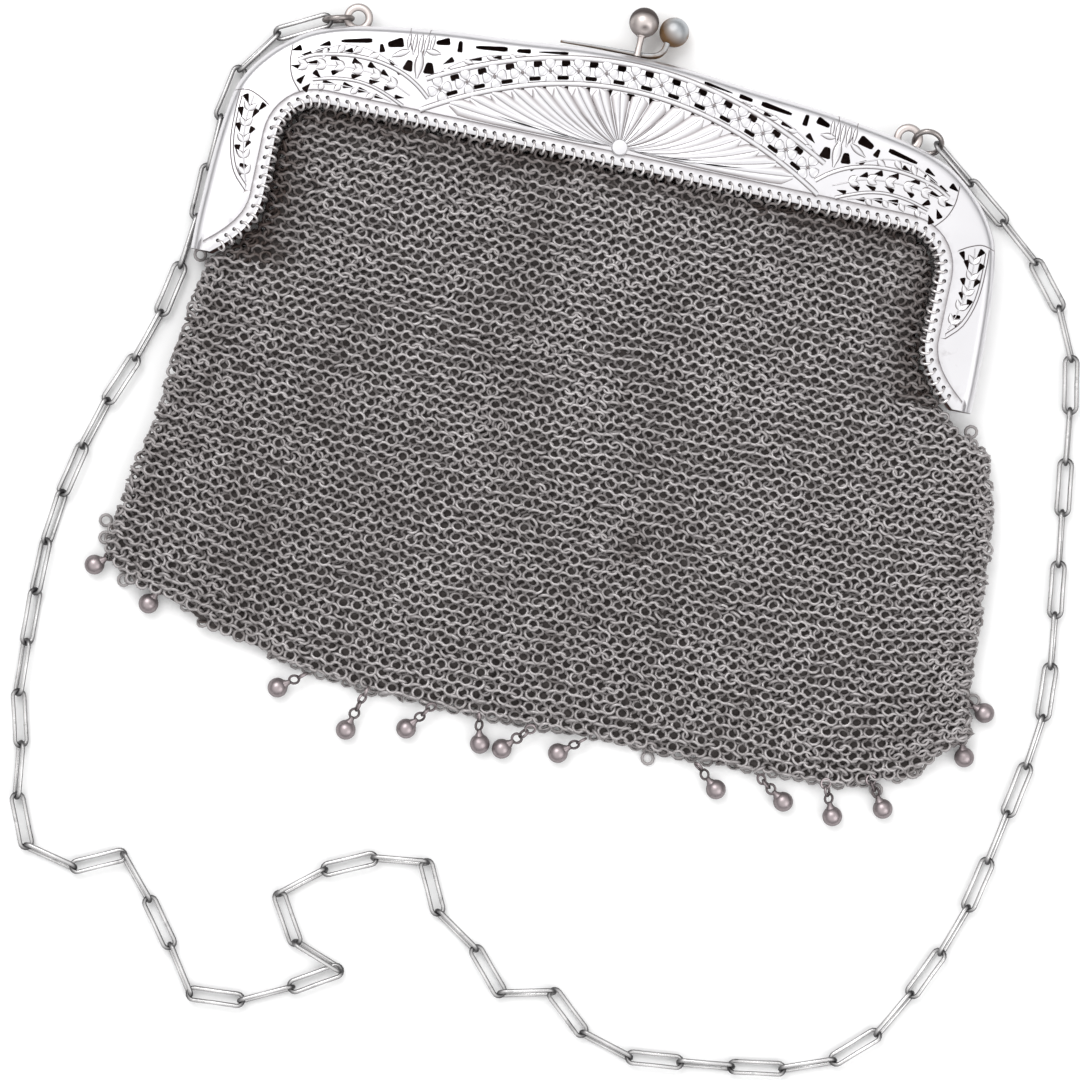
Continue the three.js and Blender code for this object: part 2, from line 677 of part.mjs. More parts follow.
// Joints of the chain: the route walked in steps close to the pitch that end on its last point,
// an odd number of links, so that both end links stand across their rings
function chainJoints() {
  const low = LINK_W / 2;
  const high = SEAM_Z - EYE_BELOW_SEAM;
  const jumps = jumpCentres();
  const hook = JUMP_R - (JUMP_WIRE + LINK_WIRE) / 2 - CLEARANCE + LINK_WIRE / 2 - LINK_NIP;
  const away = THREE.MathUtils.degToRad(JUMP_LEFT_TURN);
  const last = CHAIN_ROUTE.length - 1;
  const lying = CHAIN_ROUTE.map(([x, y], i) => {
    const z = i === 0 || i === last ? low + (high - low) * 0.3 : low;
    return new THREE.Vector3(x, y, z);
  });
  const route = new THREE.CatmullRomCurve3([
    new THREE.Vector3(jumps.right.x + hook, jumps.right.y, high),
    ...lying,
    new THREE.Vector3(
      jumps.left.x + hook * Math.cos(away),
      jumps.left.y + hook * Math.sin(away),
      high,
    ),
  ], false, 'catmullrom', 0.5);
  route.arcLengthDivisions = ROUTE_STEPS / 4;
  const fine = route.getSpacedPoints(ROUTE_STEPS);
  const walk = (pitch) => {
    const joints = [fine[0]];
    for (const point of fine) {
      if (point.distanceTo(joints.at(-1)) >= pitch) joints.push(point);
    }
    return joints;
  };
  let best = { spare: Infinity };
  for (let share = 1 - PITCH_SPREAD; share <= 1 + PITCH_SPREAD; share += PITCH_STEP) {
    const joints = walk(LINK_PITCH * share);
    const spare = joints.at(-1).distanceTo(fine.at(-1));
    if (joints.length % 2 === 0 && spare < best.spare) best = { spare, joints };
  }
  best.joints[best.joints.length - 1] = fine.at(-1);
  return best.joints;
}

function twistAt(share) {
  const next = CHAIN_TWISTS.findIndex((row) => row.along >= share);
  if (next <= 0) return CHAIN_TWISTS[0].turn;
  const a = CHAIN_TWISTS[next - 1];
  const b = CHAIN_TWISTS[next];
  return a.turn + (b.turn - a.turn) * (share - a.along) / (b.along - a.along);
}

// One paper-clip link between two joints: three steps round each end and two along each side
function link(start, end, roll) {
  const axis = end.clone().sub(start);
  const halfL = axis.length() / 2 + LINK_WIRE / 2 - LINK_NIP;
  axis.normalize();
  const across = new THREE.Vector3(0, 0, 1).cross(axis).normalize();
  across.applyAxisAngle(axis, THREE.MathUtils.degToRad(roll));
  const normal = axis.clone().cross(across);
  const middle = start.clone().add(end).multiplyScalar(0.5);
  const bendR = (LINK_W - LINK_WIRE) / 2;
  const points = [];
  const outward = [];
  for (const [sign, from] of [[1, -90], [-1, 90]]) {
    for (let i = 0; i <= 3; i += 1) {
      const angle = THREE.MathUtils.degToRad(from + 60 * i);
      const out = axis.clone().multiplyScalar(Math.cos(angle)).addScaledVector(across, Math.sin(angle));
      const bend = middle.clone().addScaledVector(axis, sign * (halfL - bendR * Math.cos(Math.PI / 6)));
      points.push(bend.addScaledVector(out, bendR));
      outward.push(out);
    }
    points.push(middle.clone().addScaledVector(across, sign * bendR));
    outward.push(across.clone().multiplyScalar(sign));
  }
  const rings = points.map((point, p) => {
    const ring = [];
    for (let i = 0; i < LINK_SIDES; i += 1) {
      const angle = (2 * Math.PI * (i + 0.5)) / LINK_SIDES;
      ring.push(point.clone()
        .addScaledVector(outward[p], (LINK_WIRE / 2) * Math.cos(angle))
        .addScaledVector(normal, (LINK_WIRE / 2) * Math.sin(angle)));
    }
    return ring;
  });
  return closedTube(rings);
}

function closedTube(rings) {
  const around = rings[0].length;
  const faces = [];
  rings.forEach((ring, r) => {
    const next = (r + 1) % rings.length;
    for (let i = 0; i < around; i += 1) {
      const j = (i + 1) % around;
      const [a, b] = [r * around + i, r * around + j];
      const [c, d] = [next * around + i, next * around + j];
      faces.push(a, c, b, b, c, d);
    }
  });
  const places = rings.flat().flatMap((point) => [point.x, point.y, point.z]);
  return new wasm.Manifold(new wasm.Mesh({
    numProp: 3,
    vertProperties: new Float32Array(places),
    triVerts: new Uint32Array(faces),
  }));
}

function chain() {
  const joints = chainJoints();
  const links = [];
  for (let i = 0; i + 1 < joints.length; i += 1) {
    const roll = twistAt(i / (joints.length - 2)) + (i % 2) * 90;
    links.push(link(joints[i], joints[i + 1], roll));
  }
  return fuse(links);
}

const purse = new THREE.Group();
const whole = new THREE.Group();
whole.add(pieceOf('frame_front', geometryOf(frameFront()), silver));
whole.add(pieceOf('frame_back', geometryOf(frameBack()), silver));
whole.add(pieceOf('hinge_pin_left', hingePin(-1), silver));
whole.add(pieceOf('hinge_pin_right', hingePin(1), silver));
whole.add(pieceOf('clasp_post_ball', geometryOf(claspPostBall()), darkSilver));
whole.add(pieceOf('clasp_spring_ball', geometryOf(claspSpringBall()), darkSilver));
const jumps = jumpCentres();
whole.add(pieceOf('jump_ring_left', jumpRing(jumps.left.x, jumps.left.y, 90, JUMP_LEFT_TURN), silver));
whole.add(pieceOf('jump_ring_right', jumpRing(jumps.right.x, jumps.right.y, JUMP_RIGHT_TILT, 0), silver));
whole.add(pieceOf('mesh_bag', geometryOf(meshBag()), meshSilver));
const edge = bagEdge();
DROPS.forEach((place, i) => {
  const name = `drop_${String(i + 1).padStart(2, '0')}`;
  whole.add(pieceOf(name, drop(place, edge), darkSilver));
});
whole.add(pieceOf('chain', geometryOf(chain()), silver));

// The origin sits under the middle of the whole purse, on the surface that it lies on
const box = new THREE.Box3().setFromObject(whole);
const middle = box.getCenter(new THREE.Vector3());
whole.position.set(-middle.x, -middle.y, -box.min.z);
purse.add(whole);

export default purse;
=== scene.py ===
import math
import random

import bpy
import numpy as np
from mathutils import Euler, Matrix, Vector, kdtree, noise
from mathutils.geometry import delaunay_2d_cdt


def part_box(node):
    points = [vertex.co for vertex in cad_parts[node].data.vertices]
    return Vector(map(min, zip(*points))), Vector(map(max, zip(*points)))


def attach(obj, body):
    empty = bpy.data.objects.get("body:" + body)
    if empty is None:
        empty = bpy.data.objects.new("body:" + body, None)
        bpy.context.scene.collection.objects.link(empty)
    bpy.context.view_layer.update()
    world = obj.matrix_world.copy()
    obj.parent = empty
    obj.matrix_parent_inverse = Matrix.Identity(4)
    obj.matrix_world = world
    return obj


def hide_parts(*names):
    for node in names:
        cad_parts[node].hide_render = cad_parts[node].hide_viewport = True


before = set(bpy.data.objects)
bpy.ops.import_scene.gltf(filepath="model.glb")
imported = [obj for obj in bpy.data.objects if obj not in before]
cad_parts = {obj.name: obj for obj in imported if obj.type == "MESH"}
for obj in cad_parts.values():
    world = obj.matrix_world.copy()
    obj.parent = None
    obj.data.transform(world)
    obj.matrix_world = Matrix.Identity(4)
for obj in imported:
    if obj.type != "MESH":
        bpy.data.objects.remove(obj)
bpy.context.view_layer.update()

# Lengths are in millimetres from the middle of the frame's crest: +X right, +Y up the frame,
# Z from the surface that the purse lies on. Meshes are put in metres in the CAD frame at the end.
MM = 0.001

# Frame, with its width, height and depth from the CAD
RELIEF_H = 0.35
SHEET = 1.1
CLEARANCE = 0.3
CREST_LOW, CREST_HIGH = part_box("frame_front")
CREST = Vector(((CREST_LOW.x + CREST_HIGH.x) / 2, CREST_HIGH.y, 0)) / MM
FRAME_W = (CREST_HIGH.x - CREST_LOW.x) / MM
FRAME_H = (CREST_HIGH.y - CREST_LOW.y) / MM
FRONT_TOP = CREST_HIGH.z / MM - RELIEF_H
SEAM_Z = FRONT_TOP / 2
FOOT_Y = -FRAME_H
EDGE_STEPS = 190

# Round rims of the halves, and the low crown of the front
RIM_DOME_W = 2.2
RIM_DOME_H = 2.2
CROWN_W = 9
CROWN_H = 0.45
BACK_DOME_W = 5
BACK_DOME_H = 4.2
BACK_LINE = 6

# Opening between the legs
LEG_W = 12
MOUTH_HALF = FRAME_W / 2 - LEG_W
MOUTH_Y = -22.1
MOUTH_CORNER = 8
LEG_FLARE = 8
LEG_FLARE_H = 12.6
MOUTH_H = FRAME_H + MOUTH_Y
MOUTH_STEPS = 150

# Drilled strip along the opening
STRIP_W = 2.4
STRIP_STEP = 0.7
STRIP_RAMP = 0.15
# Width of the painted shade line along the step of the strip
STRIP_LINE = 0.2
STRIP_EDGE_W = 0.35
STRIP_EDGE_DROP = 0.2
BACK_STRIP_STEP = 0.3
HOLE_PITCH = 2.0
HOLE_R = 0.42
HOLE_INSET = 1.15
HOLE_SIDES = 8

# Engraved lines
GROOVE_HALF_W = 0.13
GROOVE_DEPTH = 0.16

# Distances inward from the outer edge at which the sheets are bent
FRONT_RIM_LINES = (0.12, 0.4, 0.8, 1.1, 1.22, 1.45, 1.95, 2.3, 3.4)
BACK_RIM_LINES = (0.12, 0.4, 0.8, 1.1, 1.22, 1.8, 2.6, 3.6, 4.8, BACK_LINE - GROOVE_HALF_W, BACK_LINE,
                  BACK_LINE + GROOVE_HALF_W)

# Grid of the sheets: spacing, row height and distance from the lines as shares of it, and how far
# the piercings reach from their middles
FRONT_SPACING = 1.1
BACK_SPACING = 2.0
GRID_ROW = 0.87
GRID_CLEAR = 0.45
HOLE_REACH = 6

# Arches and sunburst of the front
ARCH_HALF = 40
UPPER_RAIL = (2, 11)
LOWER_RAIL = (7.1, 12.2)
MIDDLE_RAIL = (4.55, 11.6)
RAIL_HALF_W = 0.62
RELIEF_LINE = 0.13
FLOWER_PITCH = 5.6
FLOWER_R = 2.5
# Painted shade at the feet of the petals; darkness of the middle dot
FLOWER_FOOT_SHADE = 0.9
FLOWER_DOT_DARK = 0.75
RAY_PITCH = 4.3
PIERCING_SPREAD = 1.2
WEDGE_BELOW_RAIL = 0.75
WEDGE_L = 1.5
WEDGE_W = 1.7
WEDGE_TIP = 0.2
RAY_H = 0.3
STEM_HALF_W = 0.16
STEM_H = 0.2
LEAF_H = 0.24
FLUTE_H = 0.32

# Half the width that each row of the arch spans
SQUARES_SPAN = 38.4
WEDGES_SPAN = 37
RAYS_SPAN = 39.2
FLOWERS_SPAN = 38.6
RAILS_SPAN = 40.5

# Middle and size of the sun
SUN = Vector((0, -18.6))
SUN_R = 1.7

# Eyes, jump rings, clasp. An eye's place is its share of the frame's edge and its bite into it
EYE_R = 2.35
EYE_WIRE = 0.8
EYE_WIDE = 1.5
EYE_PLACES = ((0.2615, 0.893), (0.7375, 1.66))
EYE_BELOW_SEAM = 0.65
JUMP_R = 2.75
JUMP_WIRE = 0.8
JUMP_WIRE_SEEN = 1.1
JUMP_LEFT_TURN = 195
JUMP_RIGHT_TILT = 42
BALL_R = 3
POST_X = -0.4
POST_W = 1.2
SPRING_T = 0.7
SPRING_W = 2
SPRING_BALL = Vector((5.9, 6.7))
SPRING_BALL_LOW = 1

# Pouch
BAG_W = 178
BAG_FALL = 80.2
BAG_DEPTH = 9
BAG_H = MOUTH_H + BAG_FALL
BAG_MOUTH_DEEP = 0.82
BAG_ROUND_ACROSS = 0.75
BAG_ROUND_DEEP = 0.55

# Dark sheet between the two walls of the pouch: painted shade for its dim inside
GROUND_SHARE = 0.45
GROUND_DEEP = 1.7
GROUND_ROWS = 60
GROUND_COLUMNS = 41
GROUND_MARGIN = 2.2
GROUND_TOP_GAP = 1.5
GROUND_FOOT_GAP = 2.0

# Rows of rings
ROW_PITCH = 1.14
ROW_PITCH_TOP = 1.05
ROW_BEND = 0.75
ROW_BEND_SPAN = 35
ROW_REACH = 96
ROW_SAMPLES = 300

# Rings of the mesh, with their leans and turns in degrees
RING_R = 1.13
RING_WIRE = 0.68
RING_PITCH = 2.72
RING_LEAN = 42
RING_LEAN_CHANGE = 3
RING_LEAN_DRIFT = 10
RING_LEAN_SPREAD = 13
RING_YAW_SPREAD = 18
RING_WOBBLE = 0.14
RING_TONE_SPREAD = 0.1
RING_INSET = 0.95
# Painted shade on the deeper parts of the rings, and over all of the back wall
INSIDE_SHADE = 0.3
BACK_SHADE = 0.2

# Rings that hang the mesh in the frame, and loose rings at its edges
HANGER_R = 1.08
HANGER_WIRE = 0.6
HANGER_REACH = 1.05
HANGER_TIP = 64
HANGER_TIP_SPREAD = 9
LOOSE_RING_LOW = 0.4
LOOSE_RING_TARNISH = 0.25

# Reach of the painted shade and brown tarnish under the frame's top and beside its legs
DARK_BELOW_TOP = 5
DARK_BESIDE_LEGS = 7

# Stain on the front wall: middle, radius and darkness
STAIN = Vector((19, -95))
STAIN_R = 3
STAIN_GAIN = 0.5

# Drops and the small rings that hang them
DROP_R = 2
DROP_RING_R = 1.0
DROP_RING_WIRE = 0.55
DROP_RING_PITCH = 1.7
DROP_RING_LEAN = 35
DROP_RING_CHANGE = 60
DROP_RING_SPREAD = 15
DROP_RING_LOW = 1.7

# Chain
LINK_PITCH = 10.4
LINK_W = 3.4
LINK_WIRE = 0.9
LINK_NIP = 0.02
LINK_PITCH_SPREAD = 0.03
LINK_PITCH_STEP = 0.0005
ROUTE_STEPS = 4000
HOOK_NIP = 0.095
END_RISE = 0.3

# Outer edge of the frame from the crest to the foot: shares of half the width and of the height
OUTLINE = [
    (0.13, 0.006), (0.3, 0.03), (0.5, 0.054), (0.7, 0.097), (0.804, 0.143), (0.867, 0.2),
    (0.915, 0.265), (0.955, 0.345), (0.977, 0.43), (0.992, 0.6), (1, 0.85), (1, 1),
]

# Piercings of the right shoulder and leg, mirrored to the left: place, length, width, turn, and
# the width of the far end as a share of the near one
PIERCINGS = [
    (38.7, -5.4, 2.8, 1.3, -18, 0.6), (35.2, -5.6, 2.3, 0.9, 84, 0.8), (29.0, -4.6, 6.4, 0.9, -8, 0.7),
    (22.6, -3.8, 2.8, 0.8, -9, 0.8), (16.8, -2.9, 6.0, 0.55, -9, 0.5), (27.7, -6.2, 2.1, 0.7, -12, 0.3),
    (31.6, -7.4, 2.3, 0.8, -20, 0.3), (36.9, -9.0, 2.3, 1.0, -38, 0.2), (40.4, -11.1, 2.3, 1.9, 84, 0.6),
    (44.5, -11.4, 2.2, 1.7, 96, 0.6), (47.9, -7.6, 3.2, 1.7, -22, 0.6), (50.4, -9.1, 1.7, 1.0, 70, 0.6),
    (55.6, -8.7, 6.2, 0.85, -13, 0.7), (61.6, -10.7, 2.2, 0.9, -25, 0.3), (56.8, -11.0, 1.8, 0.9, -20, 0.2),
    (61.9, -11.9, 2.9, 0.8, -22, 0.5), (66.9, -12.7, 1.9, 1.1, -28, 0.3), (64.8, -13.4, 2.0, 1.0, -15, 0.2),
    (59.0, -13.0, 1.9, 1.1, 190, 0.2), (54.6, -12.9, 2.0, 1.1, 190, 0.2), (51.4, -13.1, 2.0, 1.1, 200, 0.2),
    (48.7, -14.0, 1.8, 1.0, 205, 0.2), (46.4, -13.0, 1.5, 0.8, 30, 0.3), (48.0, -11.5, 1.6, 0.8, 40, 0.3),
    (63.4, -14.8, 2.1, 0.9, -10, 0.2), (66.4, -16.2, 2.0, 0.9, 0, 0.2), (61.8, -17.0, 2.1, 1.0, 215, 0.2),
    (64.8, -18.4, 2.0, 1.1, 120, 0.2), (63.4, -19.8, 1.9, 1.1, 120, 0.2), (58.2, -15.5, 2.3, 0.9, 150, 0.2),
    (54.2, -15.6, 2.1, 0.9, 160, 0.2), (50.5, -16.0, 2.1, 0.9, 165, 0.2), (47.4, -16.7, 2.0, 0.9, 170, 0.2),
    (45.0, -18.0, 1.9, 0.8, 175, 0.2), (59.4, -18.1, 2.3, 0.8, 180, 0.4), (55.5, -17.9, 2.0, 1.1, 180, 0.3),
    (52.4, -18.2, 1.9, 1.0, 180, 0.3), (49.0, -18.8, 1.8, 0.8, 190, 0.3), (74.6, -24.5, 2.0, 1.1, 240, 0.2),
    (71.4, -25.6, 2.0, 1.0, 300, 0.2), (75.2, -27.3, 2.0, 1.1, 250, 0.2), (72.5, -27.1, 2.0, 1.0, 290, 0.2),
    (75.0, -30.4, 1.9, 1.1, 250, 0.2), (72.5, -30.7, 1.9, 1.0, 290, 0.2), (72.7, -33.4, 1.7, 0.9, 290, 0.2),
    (74.4, -34.8, 2.0, 1.1, 260, 0.2), (72.7, -38.5, 2.4, 1.3, 275, 0.3),
]

# Engraved lines of the right side, mirrored to the left
ENGRAVED = [
    [(67.9, -12.2), (67.7, -15.6), (66.6, -18.6), (64.6, -21.0)],
    [(77.3, -23.2), (74.7, -22.7), (72.3, -23.5), (70.4, -24.6)],
    [(76.3, -23.5), (76.4, -27.1), (76.3, -31.5), (75.7, -35.3), (74.1, -39.4), (71.3, -42.4)],
    [(75.7, -24.2), (75.8, -27.1), (75.7, -31.5), (75.1, -35.1), (73.6, -38.8), (71.2, -41.4)],
    [(41.6, -3.4), (41.9, -6.0), (42.2, -8.0)],
    [(45.6, -3.8), (45.2, -6.2), (44.6, -8.0)],
]

# Raised arcs of the right shoulder: points along the middle, half width
SHOULDER_ARCS = [
    ([(66.2, -14.8), (63.2, -13.2), (58.5, -12.1), (54.1, -11.7), (49.7, -12.0), (45.3, -13.2),
      (41.9, -15.0), (39.4, -17.0)], 0.5),
    ([(62.6, -18.1), (58.5, -17.0), (54.1, -16.6), (50.3, -17.1), (46.8, -18.3), (44.0, -19.5)], 0.42),
]

# Raised leaves: stem of the right side, leaf pitch, leaf length, half width, slants in degrees
LEAF_ROWS = [
    ([(65.6, -15.7), (61.0, -14.7), (55.0, -14.2), (49.0, -14.8), (43.0, -17.2)], 3.7, 2.2, 0.8, (155, 205)),
    ([(62.4, -18.9), (58.0, -18.1), (52.0, -18.2), (46.4, -19.2)], 3.4, 1.7, 0.75, (130,)),
    ([(63.4, -12.6), (58.0, -10.0), (52.6, -9.9), (46.6, -11.9)], 3.6, 2.2, 0.8, (130,)),
    ([(38.4, -11.6), (34.6, -8.6), (29.0, -6.1), (22.0, -4.6)], 4.6, 2.0, 0.65, (30,)),
    ([(73.4, -23.6), (73.9, -28.0), (73.6, -32.5), (72.6, -37.0), (71.4, -40.8)], 3.2, 2.2, 0.7, (215, 145)),
]

# Fluted palmette of the right shoulder: start, end and half width of each flute
PALMETTE = [
    ((40.6, -4.4), (40.8, -8.0), 0.5), ((41.8, -4.5), (41.9, -8.8), 0.55), ((43.0, -4.6), (42.9, -9.6), 0.55),
    ((44.2, -4.7), (44.1, -9.2), 0.55), ((45.4, -4.9), (45.3, -8.4), 0.5), ((42.6, -8.4), (42.4, -13.6), 1.0),
    ((41.6, -7.8), (38.6, -7.8), 0.75), ((44.9, -8.4), (48.2, -10.4), 0.75),
]

# Pouch below the feet: shares of its fall, of half its width left and right, and of its depth
BAG_ROWS = [
    (0.027, 0.858, 0.87, 0.84), (0.093, 0.872, 0.965, 0.88), (0.242, 0.885, 1.006, 0.97),
    (0.442, 0.904, 1.022, 1), (0.691, 0.943, 1.028, 0.92), (0.79, 0.948, 1.049, 0.82),
    (0.844, 0.895, 1, 0.72), (0.863, 0.79, 0.985, 0.68), (0.911, 0.7, 0.944, 0.6),
    (0.945, 0.56, 0.87, 0.52), (0.983, 0.45, 0.765, 0.42), (1, 0.3, 0.6, 0.34),
]
BAG_SETTLE_ROW = 2

# Long soft folds of the front wall: place and width in shares of half the width, height of the depth
FOLDS = [(-0.78, 0.13, 0.07), (-0.35, 0.16, -0.05), (0.12, 0.2, 0.05), (0.5, 0.14, -0.06), (0.82, 0.12, 0.07)]

# Swing of each ball drop from straight down, in degrees
DROP_SWINGS = (-50, -26, -52, -16, -37, 14, -43, -50, 49, 56, 24, 35, 21, 71)

# Loose rings at the worn edges of the pouch
LOOSE_RINGS = [
    (-85.4, -112.6, 0.9, 20), (-84.8, -116.0, 0.9, 70), (-79.4, -123.6, 0.9, 45), (92.6, -111.8, 1.2, 15),
    (80.8, -130.0, 0.9, 60), (84.2, -128.0, 0.9, 30), (77.2, -133.4, 0.9, 0), (31.0, -136.8, 0.6, 10),
    (-77.8, -56.6, 2.4, 70), (80.8, -59.2, 2.2, 110),
]

# Route of the chain on the table, from beside the right jump ring round to the left one
CHAIN_ROUTE = [
    (72.8, -12.4), (81.4, -19), (89, -25.8), (94.6, -34), (98.2, -43.6), (101.2, -64.6),
    (104.2, -86), (106.8, -107.4), (106.2, -118.4), (104.6, -128.8), (100.6, -150.2), (97.6, -160.4),
    (88.6, -179.6), (80.8, -187.8), (71.8, -191.8), (50.8, -195), (36.2, -196), (27.2, -191.6),
    (22.4, -186.6), (12.4, -189.2), (5.6, -181.8), (-3.6, -175.8), (-7.4, -166.8), (-18.2, -167.6),
    (-35.4, -177.8), (-30.2, -187.8), (-20.4, -191.6), (-30.8, -197.2), (-40.2, -201.6),
    (-51, -201.2), (-56, -191.8), (-71, -175.2), (-77.6, -182.2), (-87, -180), (-92.6, -174),
    (-88.8, -164.4), (-94.4, -156.8), (-96, -135.6), (-95.8, -114.6), (-91.4, -93.2),
    (-84, -72.6), (-80.4, -52.4), (-79.8, -32.2), (-78.4, -20.4), (-73.2, -11.2),
]

# Roll of the links about the chain: share of its length, degrees
CHAIN_TWISTS = [(0, 118), (0.1, 102), (0.35, 118), (0.6, 104), (0.75, 120), (0.9, 175), (1, 198)]

# Rise of the lowest row of rings at either end: side, rise, start and power
ROW_BENDS = ((-1, 7.1, 27, 1.3), (1, 9.5, 53, 2.2))

# Square piercings on both sides of the flowers: distance from their middle line, length and width
SQUARES = ((1.45, 1.75, 1.25), (-1.4, 2.3, 0.85))

# Shares of the mask of tarnish and painted shade in a material
PATCH_LEVEL = 0.72
PATCH_EDGE = 3.0
DARK_MASK_METAL_LOSS = 0.75
DARK_MASK_ROUGHENS = 0.22
BUMP_DISTANCE = 0.0002

# Lights: name, place, size and power
LAMPS = (("key", (-0.45, 0.6, 1.0), 0.7, 5.6), ("fill", (0.8, -0.3, 0.8), 0.8, 2.6))
ROOM_STRENGTH = 1.16
ROOM_RAMP = ((0.1, (0.1, 0.1, 0.105, 1)), (0.75, (1, 1, 1, 1)))

# Camera and photograph
CAMERA_ROLL = 12
CAMERA_DISTANCE = 0.9
VIEW_WIDTH = 0.216
VIEW_MIDDLE = Vector((-0.0047, -0.0017, 0.005))
SENSOR = 36

dice = random.Random(11)


# Curves in the plan

def spline(points, steps):
    """Evenly spaced points on a smooth curve through the given ones."""
    known = np.array(points, float)
    first = 2 * known[0] - known[1]
    last = 2 * known[-1] - known[-2]
    held = np.vstack([first, known, last])
    fine = []
    for i in range(1, len(held) - 2):
        p0, p1, p2, p3 = held[i - 1:i + 3]
        for t in np.linspace(0, 1, 40, endpoint=False):
            fine.append(0.5 * (2 * p1 + (p2 - p0) * t + (2 * p0 - 5 * p1 + 4 * p2 - p3) * t ** 2
                               + (3 * p1 - p0 - 3 * p2 + p3) * t ** 3))
    fine.append(held[-2])
    return even(np.array(fine), steps)


def run_along(line):
    """Length walked along a line at each of its points."""
    return np.concatenate([[0], np.cumsum(np.linalg.norm(np.diff(line, axis=0), axis=1))])


def even(line, steps):
    """The same line with evenly spaced points."""
    run = run_along(line)
    at = np.linspace(0, run[-1], steps + 1)
    return np.column_stack([np.interp(at, run, line[:, k]) for k in range(line.shape[1])])


def directions(line):
    """Unit direction at each point of a line."""
    step = np.gradient(np.asarray(line, float), axis=0)
    return step / np.linalg.norm(step, axis=1)[:, None]


def offset(line, distance):
    """The line moved to its left by a distance."""
    run = directions(line)
    return line + distance * np.column_stack([-run[:, 1], run[:, 0]])


def mirror_x(line):
    """The line on the other side of the frame's middle."""
    return np.array([(-x, y) for x, y in line])


def distance_to(line, points):
    """Shortest distance from each point to a line."""
    best = np.full(len(points), 1e9)
    for a, b in zip(line[:-1], line[1:]):
        edge = b - a
        share = np.clip(((points - a) @ edge) / max(edge @ edge, 1e-12), 0, 1)
        best = np.minimum(best, np.linalg.norm(points - a - share[:, None] * edge, axis=1))
    return best


def inside(polygon, points):
    """Which points lie inside a closed polygon."""
    result = np.zeros(len(points), bool)
    x, y = points[:, 0], points[:, 1]
    for (ax, ay), (bx, by) in zip(polygon, np.roll(polygon, -1, axis=0)):
        crosses = (ay > y) != (by > y)
        if ay != by:
            result ^= crosses & (x < ax + (y - ay) * (bx - ax) / (by - ay))
    return result


def polygon_at(x, y, long, wide, turn, tip):
    """Corners of a small piercing with a length, a width, a turn and its tip's share of the width."""
    angle = math.radians(turn)
    shape = [(-0.5, -0.36), (-0.38, -0.5), (0.38, -0.5 * tip), (0.5, -0.3 * tip),
             (0.5, 0.3 * tip), (0.38, 0.5 * tip), (-0.38, 0.5), (-0.5, 0.36)]
    turned = []
    for across, up in shape:
        px, py = across * long, up * wide
        turned.append((x + px * math.cos(angle) - py * math.sin(angle),
                       y + px * math.sin(angle) + py * math.cos(angle)))
    return np.array(turned)


def frame_edge():
    """Outer edge from the left foot over the crest to the right foot."""
    right = [(across * FRAME_W / 2, -down * FRAME_H) for across, down in OUTLINE]
    left = [(-x, y) for x, y in reversed(right)]
    return spline(left + [(0, 0)] + right, EDGE_STEPS)


def mouth_half(y):
    """Half the width of the opening between the legs at a height."""
    below = max(MOUTH_Y - y, 0)
    flare = max((FOOT_Y + LEG_FLARE_H - y) / LEG_FLARE_H, 0)
    straight = MOUTH_HALF + LEG_FLARE * flare ** 2
    if below >= MOUTH_CORNER:
        return straight
    return straight - MOUTH_CORNER + math.sqrt(MOUTH_CORNER ** 2 - (MOUTH_CORNER - below) ** 2)


def mouth_edge():
    """Edge of the opening from the left foot over the top to the right foot."""
    right = []
    for i in range(9):
        angle = math.radians(90 - 90 * i / 8)
        right.append((MOUTH_HALF - MOUTH_CORNER + MOUTH_CORNER * math.cos(angle),
                      MOUTH_Y - MOUTH_CORNER + MOUTH_CORNER * math.sin(angle)))
    for y in np.linspace(MOUTH_Y - MOUTH_CORNER, FOOT_Y, 14)[1:]:
        right.append((mouth_half(y), y))
    left = [(-x, y) for x, y in reversed(right)]
    return even(np.array(left + right), MOUTH_STEPS)


def arch(rail, half=ARCH_HALF, steps=40):
    """Arch over the sunburst: a rail's drop in the middle and its fall to the ends."""
    xs = np.linspace(-half, half, steps + 1)
    return np.column_stack([xs, -rail[0] - rail[1] * (xs / ARCH_HALF) ** 2])


def spaced(line, pitch, shift=0.0, margin=0.5):
    """Places along a line at a pitch, counted to both sides of its middle, with their directions."""
    run = run_along(line)
    half = run[-1] / 2
    count = int(half / pitch) + 2
    at = np.array([half + (i + shift) * pitch for i in range(-count, count + 1)])
    at = at[(at > margin) & (at < run[-1] - margin)]
    heading = directions(line)
    places = np.column_stack([np.interp(at, run, line[:, k]) for k in range(2)])
    ways = np.column_stack([np.interp(at, run, heading[:, k]) for k in range(2)])
    return places, ways / np.linalg.norm(ways, axis=1)[:, None]


# Mesh building

def set_layer(mesh, layer, values):
    """Write one value a vertex to a mesh attribute."""
    if layer not in mesh.attributes:
        mesh.attributes.new(layer, "FLOAT", "POINT")
    mesh.attributes[layer].data.foreach_set("value", np.asarray(values, np.float32))


def read_layer(mesh, layer):
    """The values of a mesh attribute, or zeros where it isn't there yet."""
    values = np.zeros(len(mesh.vertices), np.float32)
    if layer in mesh.attributes:
        mesh.attributes[layer].data.foreach_get("value", values)
    return values


def make_piece(name, points, faces, material, sharp=35, shade_and_tarnish_marks=None):
    """A mesh object at the origin from points in millimetres."""
    mesh = bpy.data.meshes.new(name)
    placed = (np.asarray(points, float) + np.array(CREST)) * MM
    mesh.from_pydata(placed.tolist(), [], [list(map(int, face)) for face in faces])
    mesh.materials.append(material)
    mesh.shade_smooth()
    mesh.set_sharp_from_angle(angle=math.radians(sharp))
    if shade_and_tarnish_marks is not None:
        set_layer(mesh, "shade_and_tarnish_marks", shade_and_tarnish_marks)
    piece = bpy.data.objects.new(name, mesh)
    bpy.context.scene.collection.objects.link(piece)
    return piece


